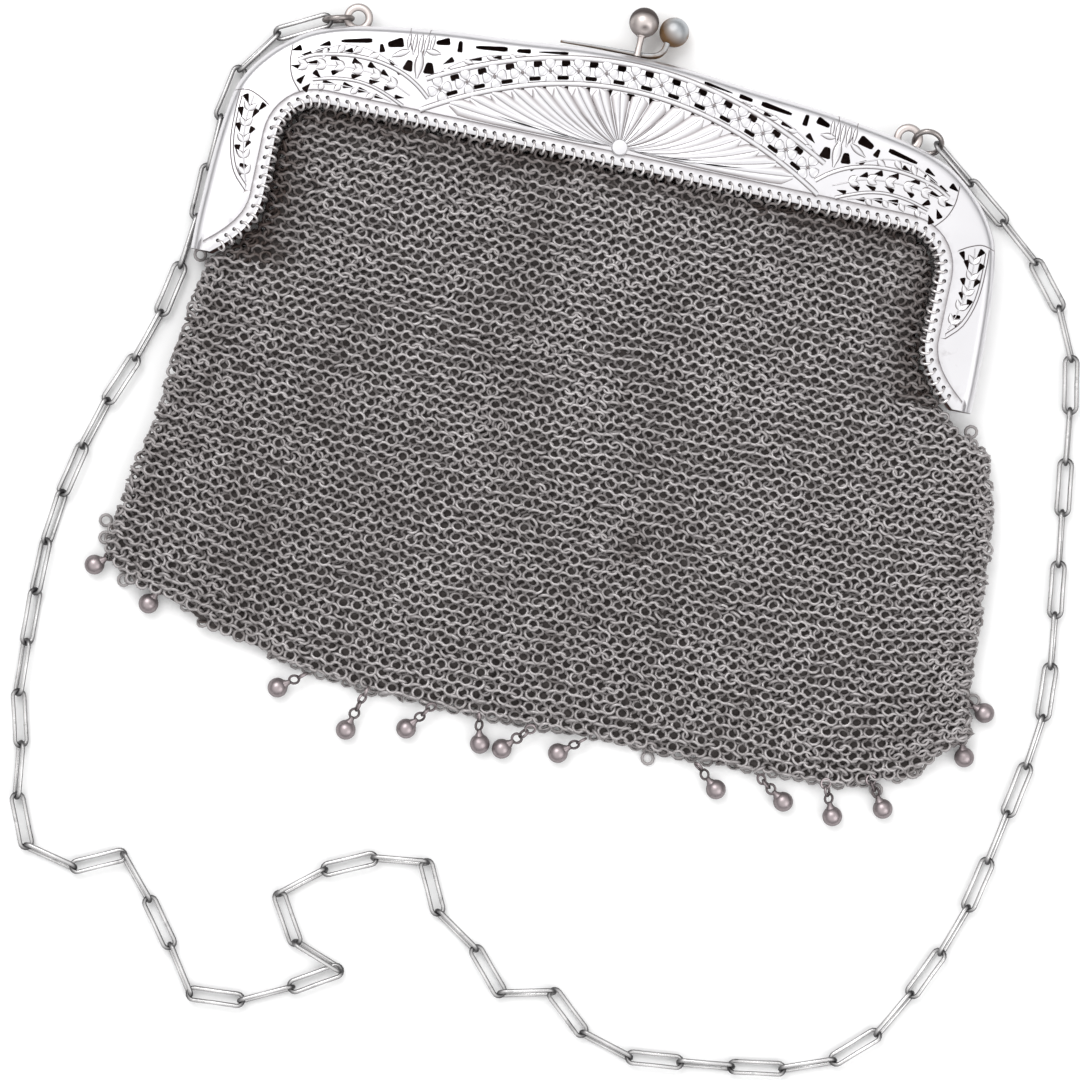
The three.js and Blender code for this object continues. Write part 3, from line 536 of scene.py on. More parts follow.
def paint_shade_on_sides(piece, layer, gain, turn=0.8, way=(0, 0, 1)):
    """Add painted shade to a mesh attribute where the surface turns away from above or another way."""
    mesh = piece.data
    normals = np.empty(3 * len(mesh.vertices), np.float32)
    mesh.vertex_normals.foreach_get("vector", normals)
    facing = normals.reshape(-1, 3) @ np.array(Vector(way).normalized())
    marks = read_layer(mesh, layer) + gain * np.clip((turn - facing) / turn, 0, 1)
    set_layer(mesh, layer, np.clip(marks, 0, 1))
    return piece


def mark_spot(piece, layer, centre, radius, gain):
    """Add a dark spot to a mesh attribute about a place."""
    mesh = piece.data
    spot = (centre + CREST) * MM
    for vertex, mark in zip(mesh.vertices, mesh.attributes[layer].data):
        away = (vertex.co - spot).length / (radius * MM)
        mark.value = min(mark.value + gain * math.exp(-away ** 2), 1)
    return piece


def join(name, parts):
    """One object from several."""
    with bpy.context.temp_override(active_object=parts[0], object=parts[0],
                                   selected_editable_objects=parts, selected_objects=parts):
        bpy.ops.object.join()
    parts[0].name = name
    parts[0].data.name = name
    return parts[0]


def tube_faces(rows, around, closed=False):
    """Faces of a tube of rows of points, with its ends closed unless it runs round."""
    faces = []
    for i in range(rows if closed else rows - 1):
        j = (i + 1) % rows
        for k in range(around):
            m = (k + 1) % around
            faces.append((i * around + k, i * around + m, j * around + m, j * around + k))
    if not closed:
        faces.append(tuple(range(around - 1, -1, -1)))
        faces.append(tuple((rows - 1) * around + k for k in range(around)))
    return faces


def turned_over(faces):
    """The same faces seen from their other side."""
    return [face[:1] + face[:0:-1] for face in faces]


def sweep(path, section, ups=None, closed=False, scale=None):
    """Points and faces of a section swept along a path in space, with ends closed."""
    path = np.asarray(path, float)
    count = len(path)
    run = np.gradient(path, axis=0)
    if closed:
        run = np.roll(path, -1, axis=0) - np.roll(path, 1, axis=0)
    run /= np.linalg.norm(run, axis=1)[:, None]
    ups = np.tile([0, 0, 1.0], (count, 1)) if ups is None else np.asarray(ups, float)
    side = np.cross(ups, run)
    side /= np.linalg.norm(side, axis=1)[:, None]
    ups = np.cross(run, side)
    size = np.ones(count) if scale is None else np.asarray(scale, float)
    points = []
    for i in range(count):
        for a, b in section:
            points.append(path[i] + size[i] * (a * side[i] + b * ups[i]))
    return points, tube_faces(count, len(section), closed)


def circle_section(radius, sides):
    """Round section of a wire."""
    return [(radius * math.cos(2 * math.pi * k / sides), radius * math.sin(2 * math.pi * k / sides))
            for k in range(sides)]


def torus(centre, radius, wire, matrix, around=32, sides=10, wide=None):
    """Ring of a wire about the Z axis of a matrix, flattened to a width across if one is given."""
    wide = wide or wire
    section = [(a * wide / wire, b) for a, b in circle_section(wire / 2, sides)]
    angles = np.linspace(0, 2 * math.pi, around, endpoint=False)
    flat = [Vector((radius * math.cos(a), radius * math.sin(a), 0)) for a in angles]
    path = [matrix @ p + centre for p in flat]
    normal = matrix @ Vector((0, 0, 1))
    return sweep(path, section, ups=[normal] * around, closed=True)


def lathe(profile, centre, axis, around=24):
    """Round body from (radius, height) rows between two tips, turned about an axis."""
    turn = Vector((0, 0, 1)).rotation_difference(Vector(axis)).to_matrix()
    points = [turn @ Vector((0, 0, profile[0][1])) + centre]
    for radius, height in profile[1:-1]:
        for k in range(around):
            angle = 2 * math.pi * k / around
            place = Vector((radius * math.cos(angle), radius * math.sin(angle), height))
            points.append(turn @ place + centre)
    points.append(turn @ Vector((0, 0, profile[-1][1])) + centre)
    rows = len(profile) - 2
    faces = [(0, 1 + (k + 1) % around, 1 + k) for k in range(around)]
    for r in range(rows - 1):
        for k in range(around):
            a, b = 1 + r * around + k, 1 + r * around + (k + 1) % around
            faces.append((a, b, b + around, a + around))
    last = 1 + (rows - 1) * around
    faces += [(last + k, last + (k + 1) % around, len(points) - 1) for k in range(around)]
    return points, faces


def ball_profile(radius, rows=14, dent=0.0):
    """Rows of a ball from bottom to top, with a small dent at its top if it has one."""
    profile = []
    for i in range(rows + 1):
        angle = math.pi * i / rows - math.pi / 2
        height = radius * math.sin(angle)
        across = radius * math.cos(angle)
        height -= dent * math.exp(-(across / (0.2 * radius)) ** 2) if height > 0 else 0
        profile.append((max(across, 0), height))
    return profile


def together(*bodies):
    """Points and faces of several bodies as one list."""
    points, faces = [], []
    for body_points, body_faces in bodies:
        start = len(points)
        points.extend(body_points)
        faces.extend(tuple(start + i for i in face) for face in body_faces)
    return points, faces


# Geometry Nodes

def new_tree(name, inputs):
    """An empty tree of geometry nodes with its named inputs."""
    tree = bpy.data.node_groups.new(name, "GeometryNodeTree")
    tree.interface.new_socket("Geometry", in_out="INPUT", socket_type="NodeSocketGeometry")
    for label, kind, default in inputs:
        socket = tree.interface.new_socket(label, in_out="INPUT", socket_type=kind)
        if default is not None:
            socket.default_value = default
    tree.interface.new_socket("Geometry", in_out="OUTPUT", socket_type="NodeSocketGeometry")
    return tree, tree.nodes.new("NodeGroupInput"), tree.nodes.new("NodeGroupOutput")


def place_on_points(tree, group_in, group_out, shape):
    """Instances of a shape on the incoming points, turned and sized by their attributes, realized."""
    nodes, links = tree.nodes, tree.links
    turn = nodes.new("GeometryNodeInputNamedAttribute")
    turn.data_type = "FLOAT_VECTOR"
    turn.inputs["Name"].default_value = "turn"
    rotation = nodes.new("FunctionNodeEulerToRotation")
    size = nodes.new("GeometryNodeInputNamedAttribute")
    size.data_type = "FLOAT_VECTOR"
    size.inputs["Name"].default_value = "size"
    copies = nodes.new("GeometryNodeInstanceOnPoints")
    real = nodes.new("GeometryNodeRealizeInstances")
    smooth = nodes.new("GeometryNodeSetShadeSmooth")
    finish = nodes.new("GeometryNodeSetMaterial")
    links.new(group_in.outputs["Geometry"], copies.inputs["Points"])
    links.new(shape, copies.inputs["Instance"])
    links.new(turn.outputs["Attribute"], rotation.inputs["Euler"])
    links.new(rotation.outputs["Rotation"], copies.inputs["Rotation"])
    links.new(size.outputs["Attribute"], copies.inputs["Scale"])
    links.new(copies.outputs["Instances"], real.inputs["Geometry"])
    links.new(real.outputs["Geometry"], smooth.inputs["Geometry"])
    links.new(smooth.outputs["Geometry"], finish.inputs["Geometry"])
    links.new(group_in.outputs["Finish"], finish.inputs["Material"])
    links.new(finish.outputs["Geometry"], group_out.inputs["Geometry"])


def ring_tree():
    """Wire rings on points."""
    tree, group_in, group_out = new_tree("wire_rings", [
        ("Ring radius", "NodeSocketFloat", RING_R * MM),
        ("Wire radius", "NodeSocketFloat", RING_WIRE * MM / 2),
        ("Steps around", "NodeSocketInt", 10),
        ("Wire sides", "NodeSocketInt", 4),
        ("Finish", "NodeSocketMaterial", None),
    ])
    nodes, links = tree.nodes, tree.links
    circle = nodes.new("GeometryNodeCurvePrimitiveCircle")
    wire = nodes.new("GeometryNodeCurvePrimitiveCircle")
    tube = nodes.new("GeometryNodeCurveToMesh")
    links.new(group_in.outputs["Steps around"], circle.inputs["Resolution"])
    links.new(group_in.outputs["Ring radius"], circle.inputs["Radius"])
    links.new(group_in.outputs["Wire sides"], wire.inputs["Resolution"])
    links.new(group_in.outputs["Wire radius"], wire.inputs["Radius"])
    links.new(circle.outputs["Curve"], tube.inputs["Curve"])
    links.new(wire.outputs["Curve"], tube.inputs["Profile Curve"])
    place_on_points(tree, group_in, group_out, tube.outputs["Mesh"])
    return tree


def copy_tree():
    """Copies of a pattern object on points."""
    tree, group_in, group_out = new_tree("copies_of_pattern", [
        ("Pattern", "NodeSocketObject", None),
        ("Finish", "NodeSocketMaterial", None),
    ])
    pattern = tree.nodes.new("GeometryNodeObjectInfo")
    tree.links.new(group_in.outputs["Pattern"], pattern.inputs["Object"])
    place_on_points(tree, group_in, group_out, pattern.outputs["Geometry"])
    return tree


def euler_of(across, up, normal):
    """Euler angles of frames given by three unit directions for each place."""
    b = np.arcsin(np.clip(-across[:, 2], -1, 1))
    a = np.arctan2(up[:, 2], normal[:, 2])
    c = np.arctan2(across[:, 1], across[:, 0])
    return np.column_stack([a, b, c])


def copies(name, tree, values, places, turns, sizes=None, tones=None):
    """A plain mesh piece from a tree of copies run on places in millimetres."""
    count = len(places)
    mesh = bpy.data.meshes.new(name)
    placed = (np.asarray(places, float) + np.array(CREST)) * MM
    mesh.from_pydata(placed.tolist(), [], [])
    turn = mesh.attributes.new("turn", "FLOAT_VECTOR", "POINT")
    turn.data.foreach_set("vector", np.asarray(turns, np.float32).ravel())
    size = mesh.attributes.new("size", "FLOAT_VECTOR", "POINT")
    sizes = np.ones((count, 3)) if sizes is None else np.asarray(sizes)
    size.data.foreach_set("vector", sizes.astype(np.float32).ravel())
    if tones is not None:
        set_layer(mesh, "tarnish_and_shade", tones)
    holder = bpy.data.objects.new(name + "_places", mesh)
    bpy.context.scene.collection.objects.link(holder)
    modifier = holder.modifiers.new("copies", "NODES")
    modifier.node_group = tree
    for item in tree.interface.items_tree:
        if item.item_type == "SOCKET" and item.in_out == "INPUT" and item.name in values:
            modifier[item.identifier] = values[item.name]
    graph = bpy.context.evaluated_depsgraph_get()
    result = bpy.data.meshes.new_from_object(holder.evaluated_get(graph))
    result.name = name
    bpy.data.objects.remove(holder)
    for layer in ("turn", "size"):
        if layer in result.attributes:
            result.attributes.remove(result.attributes[layer])
    piece = bpy.data.objects.new(name, result)
    bpy.context.scene.collection.objects.link(piece)
    return piece


# Materials

def group_tree(name, inputs, outputs):
    """An empty shader group with its inputs and outputs."""
    tree = bpy.data.node_groups.new(name, "ShaderNodeTree")
    for label, kind, default in inputs:
        socket = tree.interface.new_socket(label, in_out="INPUT", socket_type=kind)
        socket.default_value = default
    for label, kind in outputs:
        tree.interface.new_socket(label, in_out="OUTPUT", socket_type=kind)
    return tree, tree.nodes.new("NodeGroupInput"), tree.nodes.new("NodeGroupOutput")


def group_node(tree, group, values):
    """A shader group in a material, with values on its inputs."""
    node = tree.nodes.new("ShaderNodeGroup")
    node.node_tree = group
    for label, value in values.items():
        node.inputs[label].default_value = value
    return node


def math_node(tree, kind, first, second, clamp=False):
    """Result of a sum on two numbers or sockets."""
    node = tree.nodes.new("ShaderNodeMath")
    node.operation = kind
    node.use_clamp = clamp
    for socket, value in zip(node.inputs, (first, second)):
        if isinstance(value, (int, float)):
            socket.default_value = value
        else:
            tree.links.new(value, socket)
    return node.outputs[0]


def noise_node(tree, scale, detail, vector):
    """Value of a cloudy noise at a place."""
    node = tree.nodes.new("ShaderNodeTexNoise")
    node.inputs["Scale"].default_value = scale
    node.inputs["Detail"].default_value = detail
    tree.links.new(vector, node.inputs["Vector"])
    return node.outputs["Fac"]


def tarnish_and_shade_group():
    """Mask of tarnish and painted shade: cloudy patches of two sizes, plus what a mesh attribute marks."""
    tree, group_in, group_out = group_tree("silver_tarnish_and_shade", [
        ("Amount", "NodeSocketFloat", 0.3),
        ("Marked_shade_and_tarnish", "NodeSocketFloat", 0.0),
        ("Patches", "NodeSocketFloat", 90.0),
    ], [("Mask", "NodeSocketFloat")])
    where = tree.nodes.new("ShaderNodeTexCoord").outputs["Object"]
    broad = tree.nodes.new("ShaderNodeTexNoise")
    tree.links.new(where, broad.inputs["Vector"])
    tree.links.new(group_in.outputs["Patches"], broad.inputs["Scale"])
    broad.inputs["Detail"].default_value = 4
    fine = noise_node(tree, 900, 3, where)
    cloud = math_node(tree, "MULTIPLY", broad.outputs["Fac"], 0.75)
    mixed = math_node(tree, "ADD", cloud, math_node(tree, "MULTIPLY", fine, 0.25))
    level = math_node(tree, "SUBTRACT", PATCH_LEVEL, group_in.outputs["Amount"])
    cut = math_node(tree, "SUBTRACT", mixed, level)
    patch = math_node(tree, "MULTIPLY", cut, PATCH_EDGE, clamp=True)
    mask = math_node(tree, "ADD", patch, group_in.outputs["Marked_shade_and_tarnish"], clamp=True)
    tree.links.new(mask, group_out.inputs["Mask"])
    return tree


def wear_group():
    """Height and roughness of fine scratches in two directions."""
    tree, group_in, group_out = group_tree("fine_scratches", [
        ("Base roughness", "NodeSocketFloat", 0.3),
        ("Spread", "NodeSocketFloat", 0.15),
    ], [("Height", "NodeSocketFloat"), ("Roughness", "NodeSocketFloat")])
    where = tree.nodes.new("ShaderNodeTexCoord").outputs["Object"]
    layers = []
    for turn, stretch in ((0.5, (1, 14, 1)), (-0.9, (12, 1, 1))):
        mapping = tree.nodes.new("ShaderNodeMapping")
        mapping.inputs["Rotation"].default_value = (0, 0, turn)
        mapping.inputs["Scale"].default_value = stretch
        tree.links.new(where, mapping.inputs["Vector"])
        layers.append(noise_node(tree, 260, 5, mapping.outputs["Vector"]))
    height = math_node(tree, "MULTIPLY", layers[0], layers[1])
    cloud = noise_node(tree, 160, 4, where)
    change = math_node(tree, "SUBTRACT", cloud, 0.5)
    spread = math_node(tree, "MULTIPLY", change, group_in.outputs["Spread"])
    rough = math_node(tree, "ADD", group_in.outputs["Base roughness"], spread, clamp=True)
    tree.links.new(height, group_out.inputs["Height"])
    tree.links.new(rough, group_out.inputs["Roughness"])
    return tree


def silver(name, bright, dull, amount, roughness, spread, bump=0.05, patches=90.0, layer=None, metal=1.0):
    """Silver with tarnish in patches, and with the painted shade and tarnish that a mesh attribute marks."""
    material = bpy.data.materials.new(name)
    material.use_nodes = True
    material.diffuse_color = (*bright, 1)
    tree = material.node_tree
    shader = tree.nodes["Principled BSDF"]
    tarnish_and_shade = group_node(tree, TARNISH_AND_SHADE, {"Amount": amount, "Patches": patches})
    if layer:
        mark = tree.nodes.new("ShaderNodeAttribute")
        mark.attribute_name = layer
        tree.links.new(mark.outputs["Fac"], tarnish_and_shade.inputs["Marked_shade_and_tarnish"])
    wear = group_node(tree, WEAR, {"Base roughness": roughness, "Spread": spread})
    mix = tree.nodes.new("ShaderNodeMix")
    mix.data_type = "RGBA"
    mix.inputs["A"].default_value = (*bright, 1)
    mix.inputs["B"].default_value = (*dull, 1)
    tree.links.new(tarnish_and_shade.outputs["Mask"], mix.inputs["Factor"])
    tree.links.new(mix.outputs["Result"], shader.inputs["Base Color"])
    lost = math_node(tree, "MULTIPLY", tarnish_and_shade.outputs["Mask"], DARK_MASK_METAL_LOSS * metal)
    tree.links.new(math_node(tree, "SUBTRACT", metal, lost), shader.inputs["Metallic"])
    duller = math_node(tree, "MULTIPLY", tarnish_and_shade.outputs["Mask"], DARK_MASK_ROUGHENS)
    rough = math_node(tree, "ADD", wear.outputs["Roughness"], duller, clamp=True)
    tree.links.new(rough, shader.inputs["Roughness"])
    relief = tree.nodes.new("ShaderNodeBump")
    relief.inputs["Strength"].default_value = bump
    relief.inputs["Distance"].default_value = BUMP_DISTANCE
    tree.links.new(wear.outputs["Height"], relief.inputs["Height"])
    tree.links.new(relief.outputs["Normal"], shader.inputs["Normal"])
    return material


def floor_material():
    """Dull, nearly white floor."""
    material = bpy.data.materials.new("pale_floor")
    material.use_nodes = True
    shader = material.node_tree.nodes["Principled BSDF"]
    shader.inputs["Base Color"].default_value = (0.98, 0.98, 0.98, 1)
    shader.inputs["Roughness"].default_value = 0.9
    return material


TARNISH_AND_SHADE = tarnish_and_shade_group()
WEAR = wear_group()
FRAME_SILVER = silver("frame_silver", (0.72, 0.71, 0.73), (0.11, 0.075, 0.072), 0.06, 0.33, 0.14,
                      layer="shade_and_tarnish_marks")
BACK_SILVER = silver("back_silver", (0.64, 0.63, 0.64), (0.1, 0.05, 0.042), 0.2, 0.3, 0.2, layer="shade_and_tarnish_marks")
RING_SILVER = silver("ring_silver", (0.46, 0.435, 0.436), (0.06, 0.042, 0.037), 0.03, 0.36, 0.2, bump=0.1,
                     patches=420.0, layer="tarnish_and_shade", metal=0.4)
HANGER_SILVER = silver("hanger_silver", (0.72, 0.69, 0.69), (0.2, 0.14, 0.12), 0.08, 0.28, 0.15, metal=0.7)
# Painted shade: the dull dark sheet between the walls of the pouch
SHADE_SHEET_DARK = silver("mesh_ground", (0.07, 0.06, 0.057), (0.02, 0.015, 0.014), 0.32, 0.8, 0.1, patches=800.0,
                     metal=0.0)
CHAIN_SILVER = silver("chain_silver", (0.8, 0.79, 0.79), (0.028, 0.026, 0.028), 0.14, 0.17, 0.12,
                      patches=300.0, layer="shade_and_tarnish_marks")
DARK_SILVER = silver("dark_silver", (0.34, 0.31, 0.3), (0.045, 0.033, 0.03), 0.2, 0.25, 0.15, patches=260.0,
                     layer="shade_and_tarnish_marks")
DROP_SILVER = silver("drop_silver", (0.4, 0.345, 0.355), (0.03, 0.021, 0.021), 0.16, 0.36, 0.12,
                     patches=330.0, layer="shade_and_tarnish_marks")
CLASP_WARM = silver("clasp_warm_silver", (0.62, 0.56, 0.54), (0.05, 0.036, 0.034), 0.12, 0.42, 0.12,
                    patches=240.0, layer="shade_and_tarnish_marks")
CLASP_GOLDEN = silver("clasp_golden_silver", (0.46, 0.48, 0.5), (0.17, 0.09, 0.035), 0.14, 0.42, 0.12,
                      patches=200.0, layer="shade_and_tarnish_marks")


# Frame plates

def drilled_holes(mouth):
    """Places of the drilled holes along the strip, and the way from each to the mesh."""
    row = offset(mouth, HOLE_INSET)
    places, ways = spaced(row, HOLE_PITCH, 0.5, 1.4)
    return places, np.column_stack([ways[:, 1], -ways[:, 0]])


def cut_polygons():
    """Piercings of the front: squares beside the flowers, wedges at the ray ends, shoulders and legs."""
    cuts = []
    middle = arch(MIDDLE_RAIL, SQUARES_SPAN)
    for side, long, wide in SQUARES:
        places, ways = spaced(offset(middle, side), FLOWER_PITCH, 0.5, 0.5)
        for (x, y), way in zip(places, ways):
            cuts.append(polygon_at(x, y, long, wide, math.degrees(math.atan2(way[1], way[0])), 1))
    below_rail = offset(arch(LOWER_RAIL, WEDGES_SPAN), -RAIL_HALF_W - WEDGE_BELOW_RAIL)
    rays, _ = spaced(below_rail, RAY_PITCH, 0, 1.5)
    for x, y in rays:
        line = ray_line((x, y))
        run = line[-1] - line[-4]
        turn = math.degrees(math.atan2(run[1], run[0])) + 180
        cuts.append(polygon_at(x, y, WEDGE_L, WEDGE_W, turn, WEDGE_TIP))
    for x, y, long, wide, turn, tip in PIERCINGS:
        cuts.append(polygon_at(x, y, long, wide * PIERCING_SPREAD, turn, tip))
        cuts.append(polygon_at(-x, y, long, wide * PIERCING_SPREAD, 180 - turn, tip))
    return cuts


def engraved_lines():
    """Grooves of the table, on both sides."""
    lines = []
    for points in ENGRAVED:
        line = spline(points, 14)
        lines += [line, mirror_x(line)]
    return lines


def chained(lines, closed):
    """Points of several lines in one list, and the edges along each of them."""
    points, edges = [], []
    for line in lines:
        start = len(points)
        points.extend(map(tuple, line))
        edges.extend((start + i, start + i + 1) for i in range(len(line) - 1))
        if closed:
            edges.append((start + len(line) - 1, start))
    return points, edges


def grid_within(border, points, spacing):
    """Points of a triangular grid inside a border, away from the points that are there already."""
    tree = kdtree.KDTree(len(points))
    for i, (x, y) in enumerate(points):
        tree.insert((x, y, 0), i)
    tree.balance()
    low, high = border.min(0), border.max(0)
    grid = []
    for j, y in enumerate(np.arange(low[1], high[1], spacing * GRID_ROW)):
        for x in np.arange(low[0] + (j % 2) * spacing / 2, high[0], spacing):
            if tree.find((x, y, 0))[2] > spacing * GRID_CLEAR:
                grid.append((x, y))
    grid = np.array(grid)
    return list(map(tuple, grid[inside(border, grid)]))


def triangulated(loops, lines, spacing):
    """Constrained triangles in the plan inside the first loop and outside the others."""
    border = loops[0]
    points, edges = chained(loops, True)
    within = [line[inside(border, line)] for line in lines]
    line_points, line_edges = chained([line for line in within if len(line) > 1], False)
    edges += [(len(points) + i, len(points) + j) for i, j in line_edges]
    points += line_points
    points += grid_within(border, points, spacing)
    result = delaunay_2d_cdt([Vector(p) for p in points], edges, [], 0, 1e-5)
    flat = np.array([tuple(p) for p in result[0]])
    faces = np.array([face for face in result[2]])
    middles = flat[faces].mean(axis=1)
    keep = inside(border, middles)
    for loop in loops[1:]:
        near = np.linalg.norm(middles - loop.mean(0), axis=1) < HOLE_REACH
        keep[near] &= ~inside(loop, middles[near])
    return flat, faces[keep]


def plate(name, loops, lines, heights, shade_and_tarnish_marks, material, spacing, seen_from=1):
    """Closed sheet over a plan between two heights given by functions of the place.

    Its inner side gets painted shade and tarnish in full. It is seen from above (1) or from below (-1).
    """
    upper, lower = heights
    flat, faces = triangulated(loops, lines, spacing)
    used = np.unique(faces)
    index = np.full(len(flat), -1)
    index[used] = np.arange(len(used))
    flat, faces = flat[used], index[faces]
    a, b, c = (flat[faces[:, k]] for k in range(3))
    turned = (b[:, 0] - a[:, 0]) * (c[:, 1] - a[:, 1]) - (b[:, 1] - a[:, 1]) * (c[:, 0] - a[:, 0])
    faces = np.where((turned < 0)[:, None], faces[:, ::-1], faces)
    count = len(flat)
    points = np.vstack([np.column_stack([flat, upper(flat)]), np.column_stack([flat, lower(flat)])])
    walls = {}
    for face in faces:
        for p, q in zip(face, np.roll(face, -1)):
            if (q, p) in walls:
                del walls[(q, p)]
            else:
                walls[(p, q)] = True
    shell = [tuple(face) for face in faces] + [tuple(face[::-1] + count) for face in faces]
    shell += [(q, p, p + count, q + count) for p, q in walls]
    # Inner faces get the full mark: painted shade and tarnish inside the hollow halves
    marks = np.concatenate([shade_and_tarnish_marks(flat), np.full(count, 1.0)][::seen_from])
    return make_piece(name, points, shell, material, 32, marks)


class Halves:
    """Plan and heights that the two halves of the frame share."""

    def __init__(self):
        self.edge = frame_edge()
        self.mouth = mouth_edge()
        self.border = np.vstack([self.edge, self.mouth[::-1]])
        self.cuts = cut_polygons()
        self.holes, self.ways = drilled_holes(self.mouth)
        self.grooves = engraved_lines()

    def hole_loops(self):
        """Outlines of the drilled holes."""
        angles = np.linspace(0, 2 * math.pi, HOLE_SIDES, endpoint=False) + math.pi / HOLE_SIDES
        ring = HOLE_R * np.column_stack([np.cos(angles), np.sin(angles)])
        return [place + ring for place in self.holes]

    def rim_lines(self, distances):
        """Lines inward of the outer edge that shape its round rim."""
        return [offset(self.edge, -d) for d in distances]

    def strip_lines(self):
        """Lines along the mouth that shape the drilled strip."""
        return [offset(self.mouth, d) for d in (STRIP_EDGE_W, STRIP_W, STRIP_W + STRIP_RAMP)]

    def groove_depth(self, flat):
        """Share of the full depth of the engraved lines at each place."""
        depth = np.zeros(len(flat))
        for line in self.grooves:
            depth = np.maximum(depth, 1 - distance_to(line, flat) / GROOVE_HALF_W)
        return np.clip(depth, 0, 1)

    def front_base(self, flat):
        """Top of the front without its engraved lines."""
        rim = distance_to(self.edge, flat)
        mouth = distance_to(self.mouth, flat)
        inward = np.clip(1 - rim / RIM_DOME_W, 0, 1)
        top = FRONT_TOP - RIM_DOME_H * (1 - np.sqrt(1 - inward ** 2))
        top -= CROWN_H * np.clip(1 - rim / CROWN_W, 0, 1) ** 2
        top -= STRIP_STEP * np.clip((STRIP_W + STRIP_RAMP - mouth) / STRIP_RAMP, 0, 1)
        top -= STRIP_EDGE_DROP * np.clip(1 - mouth / STRIP_EDGE_W, 0, 1) ** 2
        return top

    def front_upper(self, flat):
        """Outer face of the front."""
        return self.front_base(flat) - GROOVE_DEPTH * self.groove_depth(flat)

    def front_lower(self, flat):
        """Inner face of the front, with the rim wall down to the seam."""
        rim = distance_to(self.edge, flat)
        sheet = self.front_base(flat) - SHEET
        return np.where(rim < SHEET, SEAM_Z + CLEARANCE / 2, sheet)

    def front_shade_and_tarnish(self, flat):
        """Tarnish in the engraved lines, and painted shade along the step of the strip."""
        mouth = distance_to(self.mouth, flat)
        step = np.clip(1 - np.abs(mouth - STRIP_W) / STRIP_LINE, 0, 1)
        return np.clip(self.groove_depth(flat) + 0.5 * step, 0, 1)

    def back_lower(self, flat):
        """Outer face of the back, which lies on the floor."""
        rim = distance_to(self.edge, flat)
        mouth = distance_to(self.mouth, flat)
        inward = np.clip(1 - rim / BACK_DOME_W, 0, 1)
        low = BACK_DOME_H * (1 - np.sqrt(1 - inward ** 2))
        low += BACK_STRIP_STEP * np.clip((STRIP_W + STRIP_RAMP - mouth) / STRIP_RAMP, 0, 1)
        return low + GROOVE_DEPTH * np.clip(1 - np.abs(rim - BACK_LINE) / GROOVE_HALF_W, 0, 1)

    def back_upper(self, flat):
        """Inner face of the back, with the rim wall up to the seam."""
        rim = distance_to(self.edge, flat)
        return np.where(rim < SHEET, SEAM_Z - CLEARANCE / 2, self.back_lower(flat) + SHEET)

    def back_shade_and_tarnish(self, flat):
        """Tarnish along the engraved line of the back, and painted shade along the step of its strip."""
        rim = distance_to(self.edge, flat)
        mouth = distance_to(self.mouth, flat)
        line = np.clip(1 - np.abs(rim - BACK_LINE) / GROOVE_HALF_W, 0, 1)
        step = np.clip(1 - np.abs(mouth - STRIP_W) / STRIP_LINE, 0, 1)
        return np.clip(line + 0.7 * step, 0, 1)


# Cast relief of the front

def ribbon(halves, line, half_widths, height, fluted=False):
    """A low rounded band along a line on the front, with a thin groove down its middle if fluted."""
    line = np.asarray(line, float)
    run = directions(line)
    side = np.column_stack([-run[:, 1], run[:, 0]])
    base = halves.front_base(line)
    points, marks = [], []
    for place, left, width, level in zip(line, side, half_widths, base):
        foot = 1 - min(RELIEF_LINE / width, 0.4)
        # Marks: painted shade at the band's feet and low sides, and in the groove of a flute
        rows = [(-1, -0.1, 1.0), (-foot, 0.5 * height, 0.7), (-0.5 * foot, 0.95 * height, 0), (0, height, 0),
                (0.5 * foot, 0.95 * height, 0), (foot, 0.5 * height, 0.7), (1, -0.1, 1.0)]
        if fluted:
            rows[3:4] = [(-0.1, 0.95 * height, 0), (0, 0.5 * height, 0.5), (0.1, 0.95 * height, 0)]
        for across, up, mark in rows:
            at = place + left * across * width
            points.append((at[0], at[1], level + up))
            marks.append(mark)
    return points, turned_over(tube_faces(len(line), len(rows))), marks


def leaf_widths(count, half_width, tip=0.12):
    """Half widths along a leaf, full near its stem and narrow at both ends."""
    shares = np.linspace(0, 1, count)
    return half_width * np.maximum(np.sin(math.pi * shares ** 0.8) ** 0.7, tip)


def ray_line(end, steps=16):
    """Line between two rays: it leaves the sun low along the baseline and curves up to the arch."""
    end = np.array(end)
    rise = end[1] - SUN.y
    low = abs(end[0]) / (abs(end[0]) + rise)
    bend = np.array([0.5 * end[0], SUN.y + (0.5 - 1.06 * low ** 2) * rise])
    t = np.linspace(0, 1, steps + 1)[:, None]
    return (1 - t) ** 2 * np.array(SUN) + 2 * t * (1 - t) * bend + t ** 2 * end


def sun_rays(halves):
    """Fluted rays of the sunburst, each filling the space between two curved lines."""
    ends, _ = spaced(offset(arch(LOWER_RAIL, RAYS_SPAN), -RAIL_HALF_W - 0.05), RAY_PITCH, 0, 0.2)
    bodies = []
    for first, second in zip(ends[:-1], ends[1:]):
        left, right = ray_line(first), ray_line(second)
        line = (left + right) / 2
        half = np.linalg.norm(right - left, axis=1) / 2
        shares = np.linspace(0, 1, len(line))
        taper = np.sqrt(np.clip(1 - ((shares - 0.9) / 0.104) ** 2, 0.05, 1))
        taper[shares < 0.9] = 1
        bodies.append(ribbon(halves, line[1:], (0.97 * half * taper)[1:], RAY_H, fluted=True))
    return bodies


def rails(halves):
    """The two raised rails of the arch."""
    bodies = []
    for rail in (UPPER_RAIL, LOWER_RAIL):
        line = arch(rail, RAILS_SPAN, 60)
        bodies.append(ribbon(halves, line, np.full(len(line), RAIL_HALF_W), RELIEF_H))
    return bodies


